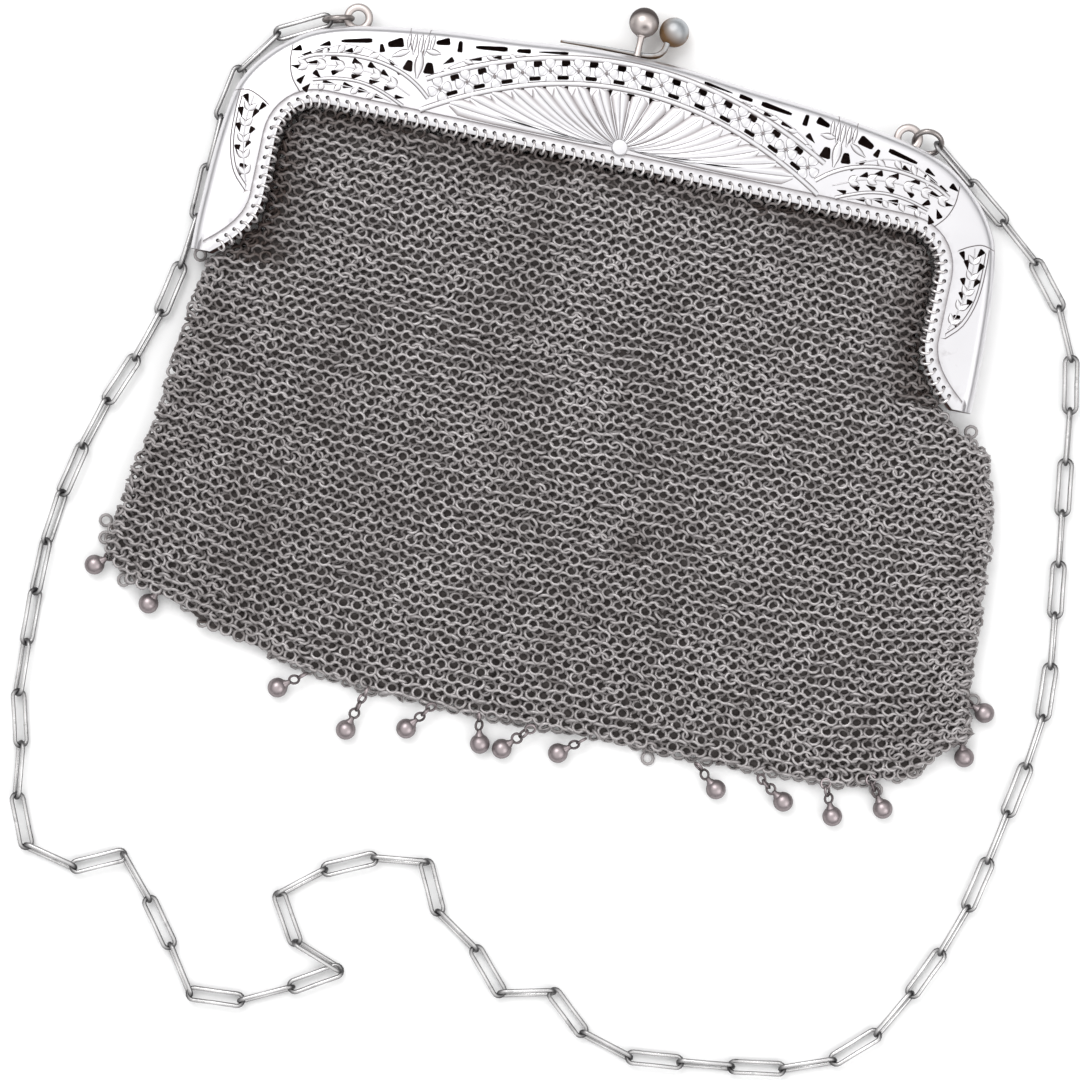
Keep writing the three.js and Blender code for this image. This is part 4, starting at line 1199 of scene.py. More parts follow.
def shoulder_relief(halves):
    """Double arcs, leaves and palmette flutes of both shoulders and legs."""
    drawn = []
    for points, half in SHOULDER_ARCS:
        line = spline(points, 34)
        drawn.append((line, np.full(len(line), half), RELIEF_H))
    for points, pitch, long, half, slants in LEAF_ROWS:
        stem = spline(points, 40)
        drawn.append((stem, np.full(len(stem), STEM_HALF_W), STEM_H))
        places, ways = spaced(stem, pitch, 0.25, 0.8)
        for place, way in zip(places, ways):
            for slant in slants:
                angle = math.atan2(way[1], way[0]) + math.radians(slant)
                tip = place + long * np.array([math.cos(angle), math.sin(angle)])
                line = np.linspace(place, tip, 7)
                drawn.append((line, leaf_widths(len(line), half), LEAF_H))
    for start, end, half in PALMETTE:
        line = np.linspace(start, end, 9)
        drawn.append((line, leaf_widths(len(line), half, 0.3), FLUTE_H))
    bodies = []
    for line, widths, height in drawn:
        bodies.append(ribbon(halves, line, widths, height))
        bodies.append(ribbon(halves, mirror_x(line)[::-1], widths[::-1], height))
    return bodies


def pattern(name, points, faces, shade_and_tarnish_marks):
    """An object outside the scene to be copied onto places, from points in millimetres."""
    mesh = bpy.data.meshes.new(name)
    mesh.from_pydata([Vector(p) * MM for p in points], [], faces)
    set_layer(mesh, "shade_and_tarnish_marks", shade_and_tarnish_marks)
    return bpy.data.objects.new(name, mesh)


def flower_pattern():
    """One flower of four blunt petals about a raised dot, lying flat at the origin, in metres."""
    outline = [(0.16, 0.1), (0.5, 0.4), (0.82, 0.46), (0.97, 0.3), (1.0, 0.0)]
    outline += [(a, -b) for a, b in reversed(outline[:-1])]
    layers = [(1.0, -0.1), (0.92, 0.14), (0.7, 0.24)]
    middle = 0.56
    petal, faces = [], []
    for share, height in layers:
        for along, side in outline:
            reach = middle + (along - middle) * share
            petal.append((reach * FLOWER_R, side * share * FLOWER_R, height))
    petal.append((middle * FLOWER_R, 0, 0.26))
    around = len(outline)
    for r in range(len(layers) - 1):
        for k in range(around):
            m = (k + 1) % around
            faces.append((r * around + m, r * around + k, (r + 1) * around + k, (r + 1) * around + m))
    top = (len(layers) - 1) * around
    faces += [(top + (k + 1) % around, top + k, len(petal) - 1) for k in range(around)]
    faces.append(tuple(range(around)))
    bodies = []
    for quarter in range(4):
        turn = Matrix.Rotation(quarter * math.pi / 2, 3, "Z")
        bodies.append(([turn @ Vector(p) for p in petal], faces))
    dot_profile = [(0, -0.3), (0.36, -0.2), (0.36, 0.3), (0.2, 0.44), (0, 0.48)]
    dot, dot_faces = lathe(dot_profile, Vector(), (0, 0, 1), 10)
    points, faces = together(*bodies, (dot, dot_faces))
    # Painted shade where the petals meet the plate; the middle dot is darker all over
    marks = [FLOWER_FOOT_SHADE * (p[2] < 0) for p in points]
    marks[-len(dot):] = [FLOWER_DOT_DARK] * len(dot)
    return pattern("flower_pattern", points, faces, marks)


def flowers(halves):
    """The row of flowers between the rails."""
    places, ways = spaced(arch(MIDDLE_RAIL, FLOWERS_SPAN), FLOWER_PITCH, 0, 1.2)
    turns = [(0, 0, math.atan2(way[1], way[0])) for way in ways]
    heights = halves.front_base(places)
    flower = flower_pattern()
    piece = copies("arch_flowers", COPY_TREE, {"Pattern": flower, "Finish": FRAME_SILVER},
                   np.column_stack([places, heights]), turns)
    bpy.data.objects.remove(flower)
    return piece


def front_sheet(halves):
    """The pierced and drilled sheet of the front, with its engraved lines."""
    loops = [halves.border] + halves.cuts + halves.hole_loops()
    lines = halves.rim_lines(FRONT_RIM_LINES) + halves.strip_lines()
    for groove in halves.grooves:
        lines += [offset(groove, d) for d in (-GROOVE_HALF_W, 0, GROOVE_HALF_W)]
    heights = (halves.front_upper, halves.front_lower)
    return plate("frame_plate", loops, lines, heights, halves.front_shade_and_tarnish, FRAME_SILVER, FRONT_SPACING)


def front_relief(halves):
    """All the raised bands of the front as one object."""
    bodies = sun_rays(halves) + rails(halves) + shoulder_relief(halves)
    points, faces = together(*[(body_points, body_faces) for body_points, body_faces, _ in bodies])
    marks = [mark for _, _, body_marks in bodies for mark in body_marks]
    return make_piece("frame_relief", points, faces, FRAME_SILVER, 50, marks)


def sun_boss(halves):
    """The round boss in the middle of the sunburst."""
    level = float(halves.front_base(np.array([tuple(SUN)]))[0])
    profile = [(0, -0.5), (SUN_R, -0.3), (SUN_R, 0.16), (SUN_R * 0.86, 0.34), (0, 0.4)]
    boss = lathe(profile, Vector((SUN.x, SUN.y, level)), (0, 0, 1), 20)
    # Painted shade on the sides of the boss
    return paint_shade_on_sides(make_piece("sun", *boss, FRAME_SILVER), "shade_and_tarnish_marks", 0.4, 0.8)


def frame_front(halves):
    """The front half as one piece."""
    parts = [front_sheet(halves), flowers(halves), front_relief(halves), sun_boss(halves)]
    return join("frame_front_pierced", parts)


def eye_centres(edge):
    """Middles of the soldered eyes, which bite into the frame's edge at shares of its length."""
    run = directions(edge)
    centres = []
    for along, bite in EYE_PLACES:
        i = along * (len(edge) - 1)
        at = np.array([np.interp(i, range(len(edge)), edge[:, k]) for k in range(2)])
        way = np.array([np.interp(i, range(len(edge)), run[:, k]) for k in range(2)])
        away = EYE_R + EYE_WIRE / 2 - bite
        centres.append(Vector((at[0] - way[1] * away, at[1] + way[0] * away, SEAM_Z - EYE_BELOW_SEAM)))
    return centres


def frame_back(halves):
    """The plain drilled sheet of the back with its two soldered eyes."""
    loops = [halves.border] + halves.hole_loops()
    lines = halves.rim_lines(BACK_RIM_LINES) + halves.strip_lines()
    heights = (halves.back_upper, halves.back_lower)
    parts = [plate("back_plate", loops, lines, heights, halves.back_shade_and_tarnish, BACK_SILVER, BACK_SPACING, -1)]
    for centre in eye_centres(halves.edge):
        ring = torus(centre, EYE_R - (EYE_WIDE - EYE_WIRE) / 4, EYE_WIRE, Matrix.Identity(3), wide=EYE_WIDE)
        # Painted shade on the sides of the eye's wire
        parts.append(paint_shade_on_sides(make_piece("eye", *ring, CLASP_WARM, 60), "shade_and_tarnish_marks", 0.9, 0.8))
    return join("frame_back_plain", parts)


# Clasp, jump rings and pins

def clasp_post():
    """Ball on a flat post that stands on the front half."""
    _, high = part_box("clasp_post_ball")
    top = high.y / MM - CREST.y
    ball_z = SEAM_Z + CLEARANCE
    centre = Vector((POST_X, top - BALL_R, ball_z))
    dent = Vector((0.13, -0.53, 0.84)).normalized()
    ball = lathe(ball_profile(BALL_R, 26, 0.4), centre, dent, 32)
    section = [(-0.5, -0.42), (-0.36, -0.5), (0.36, -0.5), (0.5, -0.42), (0.5, 0.1), (0.36, 0.42),
               (0.16, 0.5), (-0.16, 0.5), (-0.36, 0.42), (-0.5, 0.1)]
    path = [(POST_X, y, ball_z + 0.4) for y in np.linspace(CLEARANCE, top - 2 * BALL_R + 0.6, 9)]
    widths = [1.3, 1.15, 1.1, 1.05, 1.0, 1.0, 1.05, 1.15, 1.3]
    post = sweep(path, [(a * POST_W, b) for a, b in section], scale=widths)
    collar = lathe([(0, -0.3), (0.95, -0.25), (1.05, 0), (0.95, 0.25), (0, 0.3)],
                   Vector((POST_X, top - 2 * BALL_R + 0.25, ball_z + 0.2)), (0, 1, 0), 16)
    piece = make_piece("clasp_post_with_ball", *together(ball, post, collar), CLASP_WARM, 50)
    # Painted shade on the side turned up the frame, on all steep sides, and in the dent of the ball
    paint_shade_on_sides(piece, "shade_and_tarnish_marks", 1.0, 0.4, (0, -1, 0.75))
    paint_shade_on_sides(piece, "shade_and_tarnish_marks", 0.8, 0.8)
    return mark_spot(piece, "shade_and_tarnish_marks", centre + dent * BALL_R, 0.7, 0.8)


def clasp_spring():
    """Ball on the bent end of a thin spring strip that runs along the crest."""
    low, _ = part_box("clasp_spring_ball")
    start = low.x / MM - CREST.x
    z = SEAM_Z - CLEARANCE / 2
    lift = CLEARANCE + SPRING_T / 2
    bend = [(start, lift - 0.4), (start / 2, lift), (0, lift + 0.15), (SPRING_BALL.x * 0.55, lift + 0.65),
            (SPRING_BALL.x * 0.78, lift + 1.9), (SPRING_BALL.x * 0.84, SPRING_BALL.y - BALL_R + 0.5)]
    flat = spline(bend, 30)
    path = [(x, y, z - SPRING_W / 2) for x, y in flat]
    half = SPRING_T / 2
    tall = SPRING_W / 2
    section = [(-half, -tall + 0.2), (-half + 0.15, -tall), (half - 0.15, -tall), (half, -tall + 0.2),
               (half, tall - 0.2), (half - 0.15, tall), (-half + 0.15, tall), (-half, tall - 0.2)]
    swell = np.concatenate([np.linspace(0.6, 1.2, 20), np.linspace(1.25, 1.7, 11)])
    strip = sweep(path, section, scale=swell)
    centre = Vector((SPRING_BALL.x, SPRING_BALL.y, z - SPRING_BALL_LOW))
    ball = lathe(ball_profile(BALL_R, 18, 0.12), centre, (-0.2, 0.3, 1), 32)
    piece = make_piece("clasp_spring_with_ball", *together(ball, strip), CLASP_GOLDEN, 50)
    # Painted shade on the sides turned away from the upper right
    return paint_shade_on_sides(piece, "shade_and_tarnish_marks", 1.0, 0.9, (0.5, 0.6, 0.8))


def jump_ring_places(edge):
    """Middles of the jump rings, each hanging in its eye."""
    left, right = eye_centres(edge)
    reach = JUMP_R + EYE_R - (JUMP_WIRE + EYE_WIRE) / 2 - CLEARANCE
    away = math.radians(JUMP_LEFT_TURN)
    return (left + Vector((reach * math.cos(away), reach * math.sin(away), 0)),
            right + Vector((reach, 0, 0)))


def jump_rings(edge):
    """Wire rings between the eyes and the chain."""
    left, right = jump_ring_places(edge)
    upright = Matrix.Rotation(math.radians(90), 3, "X")
    turn_left = Matrix.Rotation(math.radians(JUMP_LEFT_TURN), 3, "Z") @ upright
    turn_right = Matrix.Rotation(math.radians(JUMP_RIGHT_TILT), 3, "X")
    rings = []
    for name, centre, turn in (("left", left, turn_left), ("right", right, turn_right)):
        wire = torus(centre, JUMP_R, JUMP_WIRE_SEEN, turn, 40)
        ring = make_piece(f"jump_ring_{name}_wire", *wire, DARK_SILVER, 60)
        # Painted shade on the sides of the wire
        rings.append(paint_shade_on_sides(ring, "shade_and_tarnish_marks", 0.8))
    return rings


# Pouch of rings

def bag_row(y):
    """Left and right reach, half thickness and middle height of the pouch at a height."""
    gap = 2 * CLEARANCE
    heights = [FOOT_Y - row[0] * BAG_FALL for row in BAG_ROWS]
    if y >= heights[0]:
        half_w = mouth_half(min(y + gap, MOUTH_Y - CLEARANCE)) - gap if y > FOOT_Y else None
        if half_w is None:
            foot = mouth_half(FOOT_Y) - gap
            share = (FOOT_Y - y) / (FOOT_Y - heights[0])
            left = foot + share * (BAG_ROWS[0][1] * BAG_W / 2 - foot)
            right = foot + share * (BAG_ROWS[0][2] * BAG_W / 2 - foot)
        else:
            left = right = half_w
        return left, right, BAG_MOUTH_DEEP * BAG_DEPTH / 2, SEAM_Z
    at = [-h for h in heights]
    left, right, deep = (np.interp(-y, at, [row[k] for row in BAG_ROWS]) for k in (1, 2, 3))
    half = deep * BAG_DEPTH / 2
    settle = BAG_ROWS[BAG_SETTLE_ROW][0] - BAG_ROWS[0][0]
    raised = max(0, 1 - ((FOOT_Y - y) / BAG_FALL - BAG_ROWS[0][0]) / settle)
    return left * BAG_W / 2, right * BAG_W / 2, half, half + raised * (SEAM_Z - half)


def fold_height(x, y):
    """How far the soft folds lift the front wall at a place."""
    share = 2 * x / BAG_W
    fade = math.sin(math.pi * min(max((MOUTH_Y - y) / BAG_H, 0), 1))
    total = sum(height * np.exp(-((share - across) / width) ** 2) for across, width, height in FOLDS)
    return BAG_DEPTH * fade * total


def row_bend(x):
    """How far the lowest row of rings rises at a place, so that it follows the pouch's lower edge."""
    return sum(rise * np.clip((side * x - start) / ROW_BEND_SPAN, 0, None) ** power
               for side, rise, start, power in ROW_BENDS)


def row_heights(level, x):
    """Heights along a row that is straight at the mouth and bent at the foot of the pouch."""
    down = (MOUTH_Y - level) / (MOUTH_Y - FOOT_Y + BAG_FALL)
    return level + ROW_BEND * max(down, 0) ** 2 * row_bend(x)


def row_section(level, front):
    """A row over one wall of the pouch, from its right edge to its left one."""
    across = np.arange(-ROW_REACH, ROW_REACH + 0.5, 0.5)
    heights = row_heights(level, across)
    edges = [bag_row(y) for y in heights]
    held = [x for x, (left, right, _, _) in zip(across, edges) if -left <= x <= right]
    if len(held) < 4:
        return None
    angle = np.linspace(0, math.pi, ROW_SAMPLES)
    c, s = np.cos(angle), np.sin(angle)
    centre, reach = (held[0] + held[-1]) / 2, (held[-1] - held[0]) / 2
    x = centre + reach * np.sign(c) * np.abs(c) ** BAG_ROUND_ACROSS
    y = row_heights(level, x)
    rows = [bag_row(height) for height in y]
    half = np.array([row[2] for row in rows])
    middle = np.array([row[3] for row in rows])
    rise = half * np.abs(s) ** BAG_ROUND_DEEP
    z = middle + rise + fold_height(x, level) if front else middle - rise
    return np.column_stack([x, y, z])


def ring_row(shift, line, above, below):
    """Places and directions of the rings of one row, with the rows above and below it."""
    run = run_along(line)
    middle = np.interp(0, line[::-1, 0], run[::-1])
    count = int(run[-1] / RING_PITCH) + 2
    at = middle + (np.arange(-count, count + 1) + shift) * RING_PITCH
    at = at[(at > 0.2 * RING_PITCH) & (at < run[-1] - 0.2 * RING_PITCH)]
    places = np.column_stack([np.interp(at, run, line[:, k]) for k in range(3)])
    across = -np.column_stack([np.interp(at, run, np.gradient(line[:, k], run)) for k in range(3)])
    across /= np.linalg.norm(across, axis=1)[:, None]
    ends = []
    for other in (above, below):
        x, known = places[:, 0], other[::-1]
        ends.append(np.column_stack([np.interp(x, known[:, 0], known[:, k]) for k in (1, 2)]))
    change = ends[0] - ends[1]
    change[:, 1] = np.clip(change[:, 1], -2 * ROW_PITCH, 2 * ROW_PITCH)
    up = np.column_stack([np.zeros(len(at)), change])
    normal = np.cross(across, up)
    normal /= np.linalg.norm(normal, axis=1)[:, None]
    up = np.cross(normal, across)
    return places, across, up, normal


def row_levels():
    """Heights of the rows, which lie closer together under the frame than below."""
    levels = [MOUTH_Y - 0.4]
    while levels[-1] > FOOT_Y - BAG_FALL + 0.2:
        down = (MOUTH_Y - levels[-1]) / BAG_H
        levels.append(levels[-1] - ROW_PITCH_TOP - (ROW_PITCH + 0.04 - ROW_PITCH_TOP) * down)
    return levels


def soft_noise(x, y, wide, tall, layer):
    """Smooth noise over the plan, in clouds of a width and a height."""
    return noise.noise(Vector((x / wide, y / tall, layer)))


def wander(x, y):
    """Soft shift of the weave at a place, across and along the rows."""
    return Vector((0.9 * soft_noise(x, y, 16, 16, 7.7), 0.8 * soft_noise(x, y, 13, 17, 2.9), 0))


def tarnish_and_shade_at(x, y):
    """How dark a ring is: painted shade and brown tarnish by the frame, darker at the left, a few stains."""
    cloud = 0.5 + 0.7 * soft_noise(x, y, 15, 38, 0.3)
    streak = 0.5 + 0.5 * soft_noise(x, y, 5, 9, 4.1)
    # Painted shade, with brown tarnish, under the frame's top and beside its legs
    under_frame = math.exp(-((min(y - MOUTH_Y, 0) / DARK_BELOW_TOP) ** 2)) if abs(x) < MOUTH_HALF else 0
    legs = math.exp(-(((MOUTH_HALF - abs(x)) / DARK_BESIDE_LEGS) ** 2)) if y > FOOT_Y else 0
    left_side = 0.14 * max(0, -2 * x / BAG_W)
    stain = STAIN_GAIN * math.exp(-(((x - STAIN.x) ** 2 + (y - STAIN.y) ** 2) / STAIN_R ** 2))
    return 0.26 * cloud + 0.18 * streak + 0.7 * max(under_frame, legs) + left_side + stain - 0.08


def leaning(at, side):
    """Lean and turn of the rings of a row, in radians, leaning to one side or the other."""
    drift = [RING_LEAN_DRIFT * soft_noise(x, y, 15, 12, 5.5) for x, y, _ in at]
    lean = [side * (RING_LEAN + more) + RING_LEAN_CHANGE + dice.gauss(0, RING_LEAN_SPREAD) for more in drift]
    yaw = [dice.gauss(0, RING_YAW_SPREAD) for _ in at]
    return np.radians(lean)[:, None], np.radians(yaw)[:, None]


def laid_rings(at, across, up, normal, out, side):
    """Middles and turns of the rings of a row, none of them lower than the floor."""
    lean, yaw = leaning(at, side)
    along = across * np.cos(yaw) + up * np.sin(yaw)
    tilted = np.cross(normal, along) * np.cos(lean) + normal * np.sin(lean)
    plane = np.cross(along, tilted)
    wobble = np.array([[dice.gauss(0, RING_WOBBLE) for _ in range(3)] for _ in at])
    shift = np.array([wander(x, y) for x, y, _ in at])
    middles = at - out * RING_INSET + wobble + shift
    resting = RING_R * np.linalg.norm(plane[:, :2], axis=1) + RING_WIRE / 2
    middles[:, 2] = np.maximum(middles[:, 2], resting)
    return middles, euler_of(along, tilted, plane)


def bag_rings(front):
    """Places, turns, tarnish and painted shade, and outward directions of all the rings of one wall."""
    places, turns, tones, outs = [], [], [], []
    # The back wall's rings get painted shade all over: the dim inside of the pouch
    darker = 0 if front else BACK_SHADE
    lines = [row_section(level, front) for level in row_levels()]
    for row in range(1, len(lines) - 1):
        if lines[row + 1] is None:
            break
        at, across, up, normal = ring_row(0.5 * (row % 2), lines[row], lines[row - 1], lines[row + 1])
        out = normal if front else -normal
        middles, row_turns = laid_rings(at, across, up, normal, out, 1 if row % 2 else -1)
        places.append(middles)
        turns.append(row_turns)
        tones.extend(tarnish_and_shade_at(x, y) + darker + dice.gauss(0, RING_TONE_SPREAD) for x, y, _ in at)
        outs.append(out)
    return np.vstack(places), np.vstack(turns), np.clip(tones, 0, 1), np.vstack(outs)


def ring_piece(name, places, turns, tones, steps, sides, material=RING_SILVER, radius=RING_R,
               wire=RING_WIRE):
    """Wire rings of one material on places, with a number of steps around and of sides to the wire."""
    values = {"Finish": material, "Steps around": steps, "Wire sides": sides,
              "Ring radius": radius * MM, "Wire radius": wire * MM / 2}
    return copies(name, RING_TREE, values, places, turns, tones=tones)


def paint_shade_inside(piece, places, outs, gain):
    """Paint shade on the parts of the rings that lie deeper than their middles."""
    mesh = piece.data
    count = len(mesh.vertices)
    points = np.empty(3 * count, np.float32)
    mesh.vertices.foreach_get("co", points)
    each = np.arange(count) // (count // len(places))
    middles = (places + np.array(CREST)) * MM
    deep = -((points.reshape(-1, 3) - middles[each]) * outs[each]).sum(axis=1) / MM
    marks = read_layer(mesh, "tarnish_and_shade") + gain * np.clip(deep + 0.25, 0, 1)
    set_layer(mesh, "tarnish_and_shade", np.clip(marks, 0, 1))
    return piece


def pouch():
    """The two walls of rings, each in bands from the frame down."""
    pieces = []
    for front, bands, steps, sides in ((True, 3, 10, 4), (False, 2, 8, 3)):
        places, turns, tones, outs = bag_rings(front)
        for band, chosen in enumerate(np.array_split(np.arange(len(places)), bands)):
            name = f"mesh_{'front' if front else 'back'}_{band + 1}"
            piece = ring_piece(name, places[chosen], turns[chosen], tones[chosen], steps, sides)
            # Painted shade on the deeper parts of each ring
            pieces.append(paint_shade_inside(piece, places[chosen], outs[chosen], INSIDE_SHADE))
    return pieces


def mesh_ground():
    """Dark sheet between the two walls: painted shade for the pouch's dim inside, seen in the ring gaps."""
    points = []
    top, foot = MOUTH_Y - GROUND_TOP_GAP, FOOT_Y - BAG_FALL + GROUND_FOOT_GAP
    for level in np.linspace(top, foot, GROUND_ROWS):
        front, back = row_section(level, True), row_section(level, False)
        middle = (front[0, 0] + front[-1, 0]) / 2
        reach = abs(front[0, 0] - front[-1, 0]) / 2 - GROUND_MARGIN
        for side, line in ((1, front), (-1, back)):
            for share in np.linspace(-1, 1, GROUND_COLUMNS)[::side]:
                x = middle + reach * share
                y, z = (np.interp(x, line[::-1, 0], line[::-1, k]) for k in (1, 2))
                wall = back if side > 0 else front
                other = np.interp(x, wall[::-1, 0], wall[::-1, 2])
                deep = min(GROUND_SHARE * abs(other - z), GROUND_DEEP)
                points.append((x, y, z - side * deep))
    faces = turned_over(tube_faces(GROUND_ROWS, 2 * GROUND_COLUMNS))
    return make_piece("mesh_ground", points, faces, SHADE_SHEET_DARK)


def hanging_rings(halves):
    """Rings that join the drilled strips of both halves to the first row of the mesh."""
    pieces = []
    for name, z in (("hanging_rings_front", FRONT_TOP - STRIP_STEP - SHEET / 2),
                    ("hanging_rings_back", 0.3 + SHEET / 2 + 0.7)):
        places, turns = [], []
        for (x, y), (wx, wy) in zip(halves.holes, halves.ways):
            way = Vector((wx, wy, 0))
            tip = math.radians(HANGER_TIP + dice.gauss(0, HANGER_TIP_SPREAD))
            up = Vector((0, 0, 1)) * math.sin(tip) + Vector((-wy, wx, 0)) * math.cos(tip)
            plane = way.cross(up)
            centre = Vector((x, y, z)) + way * (HANGER_REACH + dice.gauss(0, 0.05))
            places.append(centre)
            turns.append(euler_of(np.array([way]), np.array([up]), np.array([plane]))[0])
        tones = [min(max(dice.gauss(0.12, 0.08), 0), 1) for _ in places]
        pieces.append(ring_piece(name, places, turns, tones, 12, 5, HANGER_SILVER, HANGER_R, HANGER_WIRE))
    return pieces


def loose_rings():
    """Single rings that stick out at the worn edges of the mesh."""
    places, turns = [], []
    for x, y, z, turn in LOOSE_RINGS:
        places.append((x, y, max(z, LOOSE_RING_LOW)))
        turns.append(np.radians((dice.uniform(-25, 25), dice.uniform(-20, 20), turn)))
    return ring_piece("loose_rings", places, turns, [LOOSE_RING_TARNISH] * len(places), 12, 5)


# Drops

def drop_rings(top, axis, gap):
    """Small rings in a row from the top of a drop to the mesh, each turned against the one before."""
    count = max(1, round(gap / DROP_RING_PITCH))
    rings = []
    for i in range(count):
        middle = top + axis * ((i + 0.3) * gap / count)
        turn = DROP_RING_LEAN + DROP_RING_CHANGE * (i % 2) + dice.gauss(0, DROP_RING_SPREAD)
        plane = Matrix.Rotation(math.radians(turn), 3, axis) @ Vector((0, 0, 1))
        matrix = Matrix((axis, plane.cross(axis), plane)).transposed()
        middle.z = max(middle.z, DROP_RING_LOW)
        rings.append(torus(middle, DROP_RING_R, DROP_RING_WIRE, matrix, 14, 6))
    return rings


def drop(node, swing):
    """A ball with its cap and the small rings that hang it from the edge of the mesh."""
    low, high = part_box(node)
    x = high.x / MM - DROP_R if swing > 0 else low.x / MM + DROP_R
    centre = Vector((x, low.y / MM + DROP_R, DROP_R)) - CREST
    angle = math.radians(swing)
    way = Vector((-math.sin(angle), math.cos(angle), 0))
    reach = max((high.y - low.y) / MM - 2 * DROP_R, 0.6) / max(math.cos(angle), 0.35)
    rise = Vector((0, 0, min(0.9, 0.25 * reach)))
    axis = (way * reach + rise).normalized()
    ball = lathe(ball_profile(DROP_R, 14), centre, axis, 24)
    neck = lathe([(0, -0.5), (1.0, -0.3), (0.85, 0.05), (0.6, 0.4), (0.5, 0.8), (0.45, 1.1), (0, 1.25)],
                 centre + axis * (DROP_R - 0.1), axis, 14)
    gap = max(reach - 0.4, 1.0) + 1.6
    rings = drop_rings(centre + axis * (DROP_R + 1.3), axis, gap)
    piece = make_piece(f"{node}_ball", *together(ball, neck, *rings), DROP_SILVER, 60)
    # Painted dark reflection and patina at the ball's rims and the rings' sides; tarnish about the neck
    paint_shade_on_sides(piece, "shade_and_tarnish_marks", 0.9, 0.85)
    return mark_spot(piece, "shade_and_tarnish_marks", centre + axis * (DROP_R + 2.2), 1.9, 0.75)


# Chain

def chain_joints(edge):
    """Joints of the chain: the route walked in steps close to the pitch that end on its last point."""
    jumps = jump_ring_places(edge)
    low = LINK_W / 2
    high = SEAM_Z - EYE_BELOW_SEAM
    hook = JUMP_R - (JUMP_WIRE + LINK_WIRE) / 2 - CLEARANCE + LINK_WIRE / 2 - HOOK_NIP
    away = math.radians(JUMP_LEFT_TURN)
    lying = [(x, y, low) for x, y in CHAIN_ROUTE]
    for end in (0, -1):
        lying[end] = (*CHAIN_ROUTE[end], low + END_RISE * (high - low))
    ends = (jumps[1] + Vector((hook, 0, 0)),
            jumps[0] + Vector((hook * math.cos(away), hook * math.sin(away), 0)))
    fine = spline([tuple(ends[0])] + lying + [tuple(ends[1])], ROUTE_STEPS)
    best = (1e9, None)
    for share in np.arange(1 - LINK_PITCH_SPREAD, 1 + LINK_PITCH_SPREAD, LINK_PITCH_STEP):
        joints = [fine[0]]
        for point in fine:
            if math.dist(point, joints[-1]) >= LINK_PITCH * share:
                joints.append(point)
        spare = math.dist(joints[-1], fine[-1])
        if len(joints) % 2 == 0 and spare < best[0]:
            best = (spare, joints)
    joints = best[1]
    joints[-1] = fine[-1]
    return np.array(joints)


def link_pattern():
    """One paper-clip link, long axis along X and flat in XY, in metres, with its joints a pitch apart."""
    half = LINK_PITCH / 2 + LINK_WIRE / 2 - LINK_NIP
    bend = (LINK_W - LINK_WIRE) / 2
    path = []
    for sign in (1, -1):
        for k in range(9):
            angle = math.radians(-90 + 22.5 * k) + (0 if sign > 0 else math.pi)
            path.append((sign * (half - bend) + bend * math.cos(angle), bend * math.sin(angle), 0))
        path.append((0, sign * bend * 0.96, 0))
    points, faces = sweep(path, circle_section(LINK_WIRE / 2, 8), closed=True)
    marks = [max(0, abs(p[0]) - half + 2.0) / 2.4 for p in points]
    return pattern("link_pattern", points, faces, marks)


def chain(edge):
    """The links, each at right angles to the one before and rolled as the chain lies."""
    joints = chain_joints(edge)
    count = len(joints) - 1
    steps, twists = zip(*CHAIN_TWISTS)
    places, turns, sizes = [], [], []
    for i in range(count):
        start, end = Vector(joints[i]), Vector(joints[i + 1])
        axis = (end - start).normalized()
        across = Vector((0, 0, 1)).cross(axis).normalized()
        roll = np.interp(i / (count - 1), steps, twists) + (i % 2) * 90
        across.rotate(Matrix.Rotation(math.radians(roll), 3, axis))
        plane = axis.cross(across)
        places.append((start + end) / 2)
        turns.append(euler_of(np.array([axis]), np.array([across]), np.array([plane]))[0])
        sizes.append(((end - start).length / LINK_PITCH, 1, 1))
    link = link_pattern()
    values = {"Pattern": link, "Finish": CHAIN_SILVER}
    piece = copies("chain_links", COPY_TREE, values, places, turns, sizes)
    bpy.data.objects.remove(link)
    # Painted shade and dark reflection on the sides of the wires turned away from above
    return paint_shade_on_sides(piece, "shade_and_tarnish_marks", 1.0, 0.78, (-0.2, -0.2, 0.95))


# Stage

def pale_floor():
    """Plain floor under the purse."""
    bpy.ops.mesh.primitive_plane_add(size=4, location=(0, 0, 0))
    floor = bpy.context.object
    floor.name = "floor"
    floor.data.materials.append(floor_material())


def soft_room():
    """Pale room, darker low down."""
    world = bpy.data.worlds.new("soft_room")
    bpy.context.scene.world = world
    world.use_nodes = True
    tree = world.node_tree
    background = tree.nodes["Background"]
    where = tree.nodes.new("ShaderNodeTexCoord")
    split = tree.nodes.new("ShaderNodeSeparateXYZ")
    ramp = tree.nodes.new("ShaderNodeValToRGB")
    tree.links.new(where.outputs["Generated"], split.inputs["Vector"])
    tree.links.new(split.outputs["Z"], ramp.inputs["Fac"])
    tree.links.new(ramp.outputs["Color"], background.inputs["Color"])
    for stop, (position, colour) in zip(ramp.color_ramp.elements, ROOM_RAMP):
        stop.position = position
        stop.color = colour
    background.inputs["Strength"].default_value = ROOM_STRENGTH


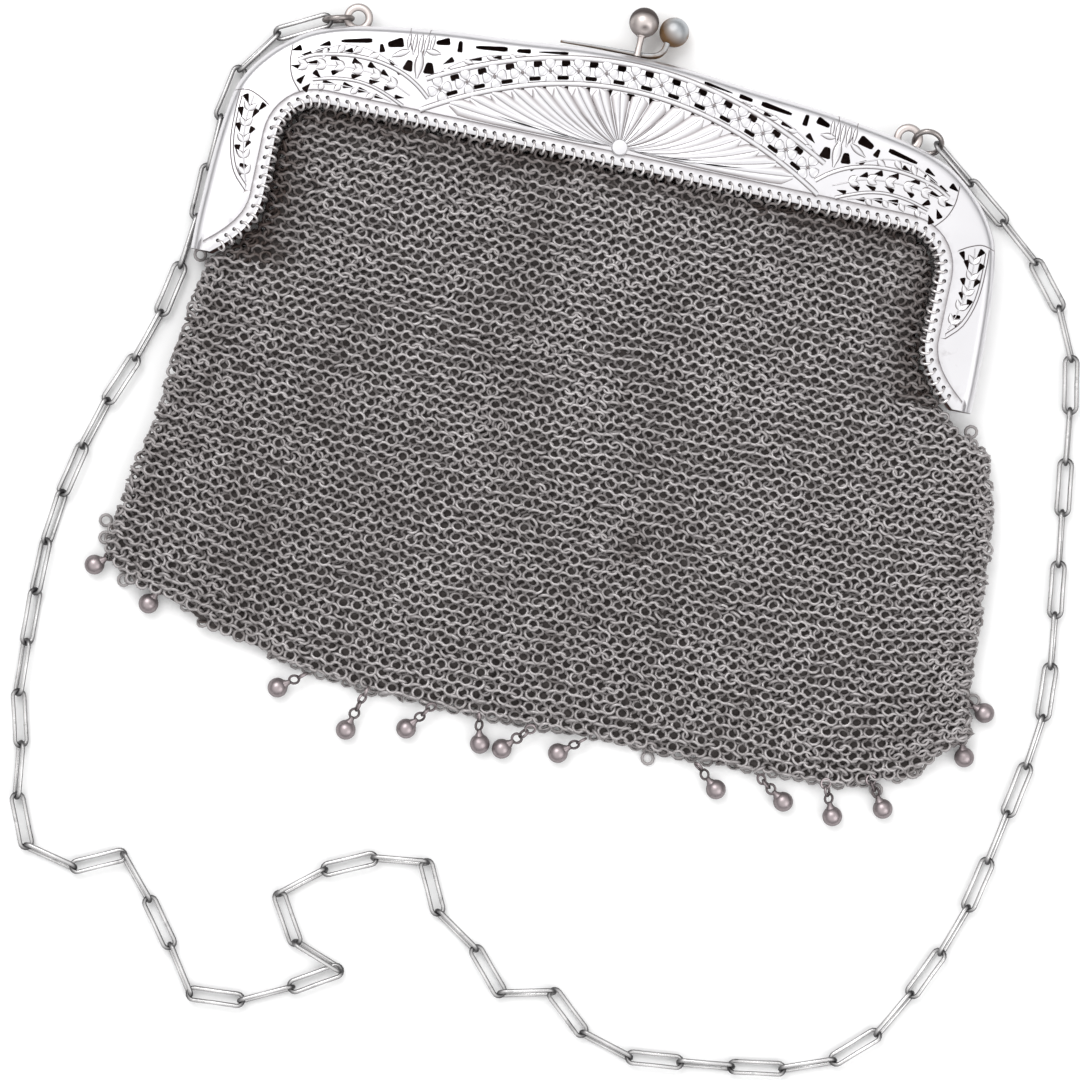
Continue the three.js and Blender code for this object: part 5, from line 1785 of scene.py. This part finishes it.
def lamps():
    """Two large soft lights."""
    for name, spot, size, power in LAMPS:
        light = bpy.data.lights.new(name, "AREA")
        light.shape = "SQUARE"
        light.size = size
        light.energy = power
        lamp = bpy.data.objects.new(name, light)
        lamp.location = spot
        lamp.rotation_euler = (-Vector(spot)).to_track_quat("-Z", "Y").to_euler()
        bpy.context.scene.collection.objects.link(lamp)


def camera_above():
    """A camera straight above the purse, turned as the photograph is."""
    lens = bpy.data.cameras.new("camera")
    lens.sensor_width = SENSOR
    lens.lens = SENSOR * CAMERA_DISTANCE / VIEW_WIDTH
    lens.clip_start = 0.01
    camera = bpy.data.objects.new("camera", lens)
    camera.location = VIEW_MIDDLE + Vector((0, 0, CAMERA_DISTANCE))
    camera.rotation_euler = Euler((0, 0, math.radians(CAMERA_ROLL)))
    bpy.context.scene.collection.objects.link(camera)
    bpy.context.scene.camera = camera
    bpy.context.scene.view_settings.view_transform = "Standard"


# Handing the pieces over

def hand_over(piece, slot, *nodes):
    """A piece rides on the one body and replaces the plain solids of its nodes."""
    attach(piece, "root")
    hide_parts(*nodes)


def dress_frame(halves):
    """The frame, the clasp and the jump rings."""
    hand_over(frame_front(halves), "frame_silver", "frame_front")
    hand_over(frame_back(halves), "frame_silver", "frame_back")
    hand_over(clasp_post(), "clasp_silver", "clasp_post_ball")
    hand_over(clasp_spring(), "clasp_silver", "clasp_spring_ball")
    for ring, node in zip(jump_rings(halves.edge), ("jump_ring_left", "jump_ring_right")):
        hand_over(ring, "chain_silver", node)


def dress_pouch(halves):
    """The mesh with all its rings, and the drops below it."""
    for wall in pouch() + [mesh_ground()] + hanging_rings(halves) + [loose_rings()]:
        hand_over(wall, "mesh_silver", "mesh_bag")
    for number, swing in enumerate(DROP_SWINGS, 1):
        node = f"drop_{number:02d}"
        hand_over(drop(node, swing), "drop_silver", node)


def tint_pins():
    """The hinge pins keep their plain solids, in the silver of the back."""
    for node in ("hinge_pin_left", "hinge_pin_right"):
        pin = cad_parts[node]
        pin.data.materials.clear()
        pin.data.materials.append(BACK_SILVER)


RING_TREE = ring_tree()
COPY_TREE = copy_tree()
pale_floor()
soft_room()
lamps()
camera_above()

halves = Halves()
dress_frame(halves)
dress_pouch(halves)
hand_over(chain(halves.edge), "chain_silver", "chain")
tint_pins()
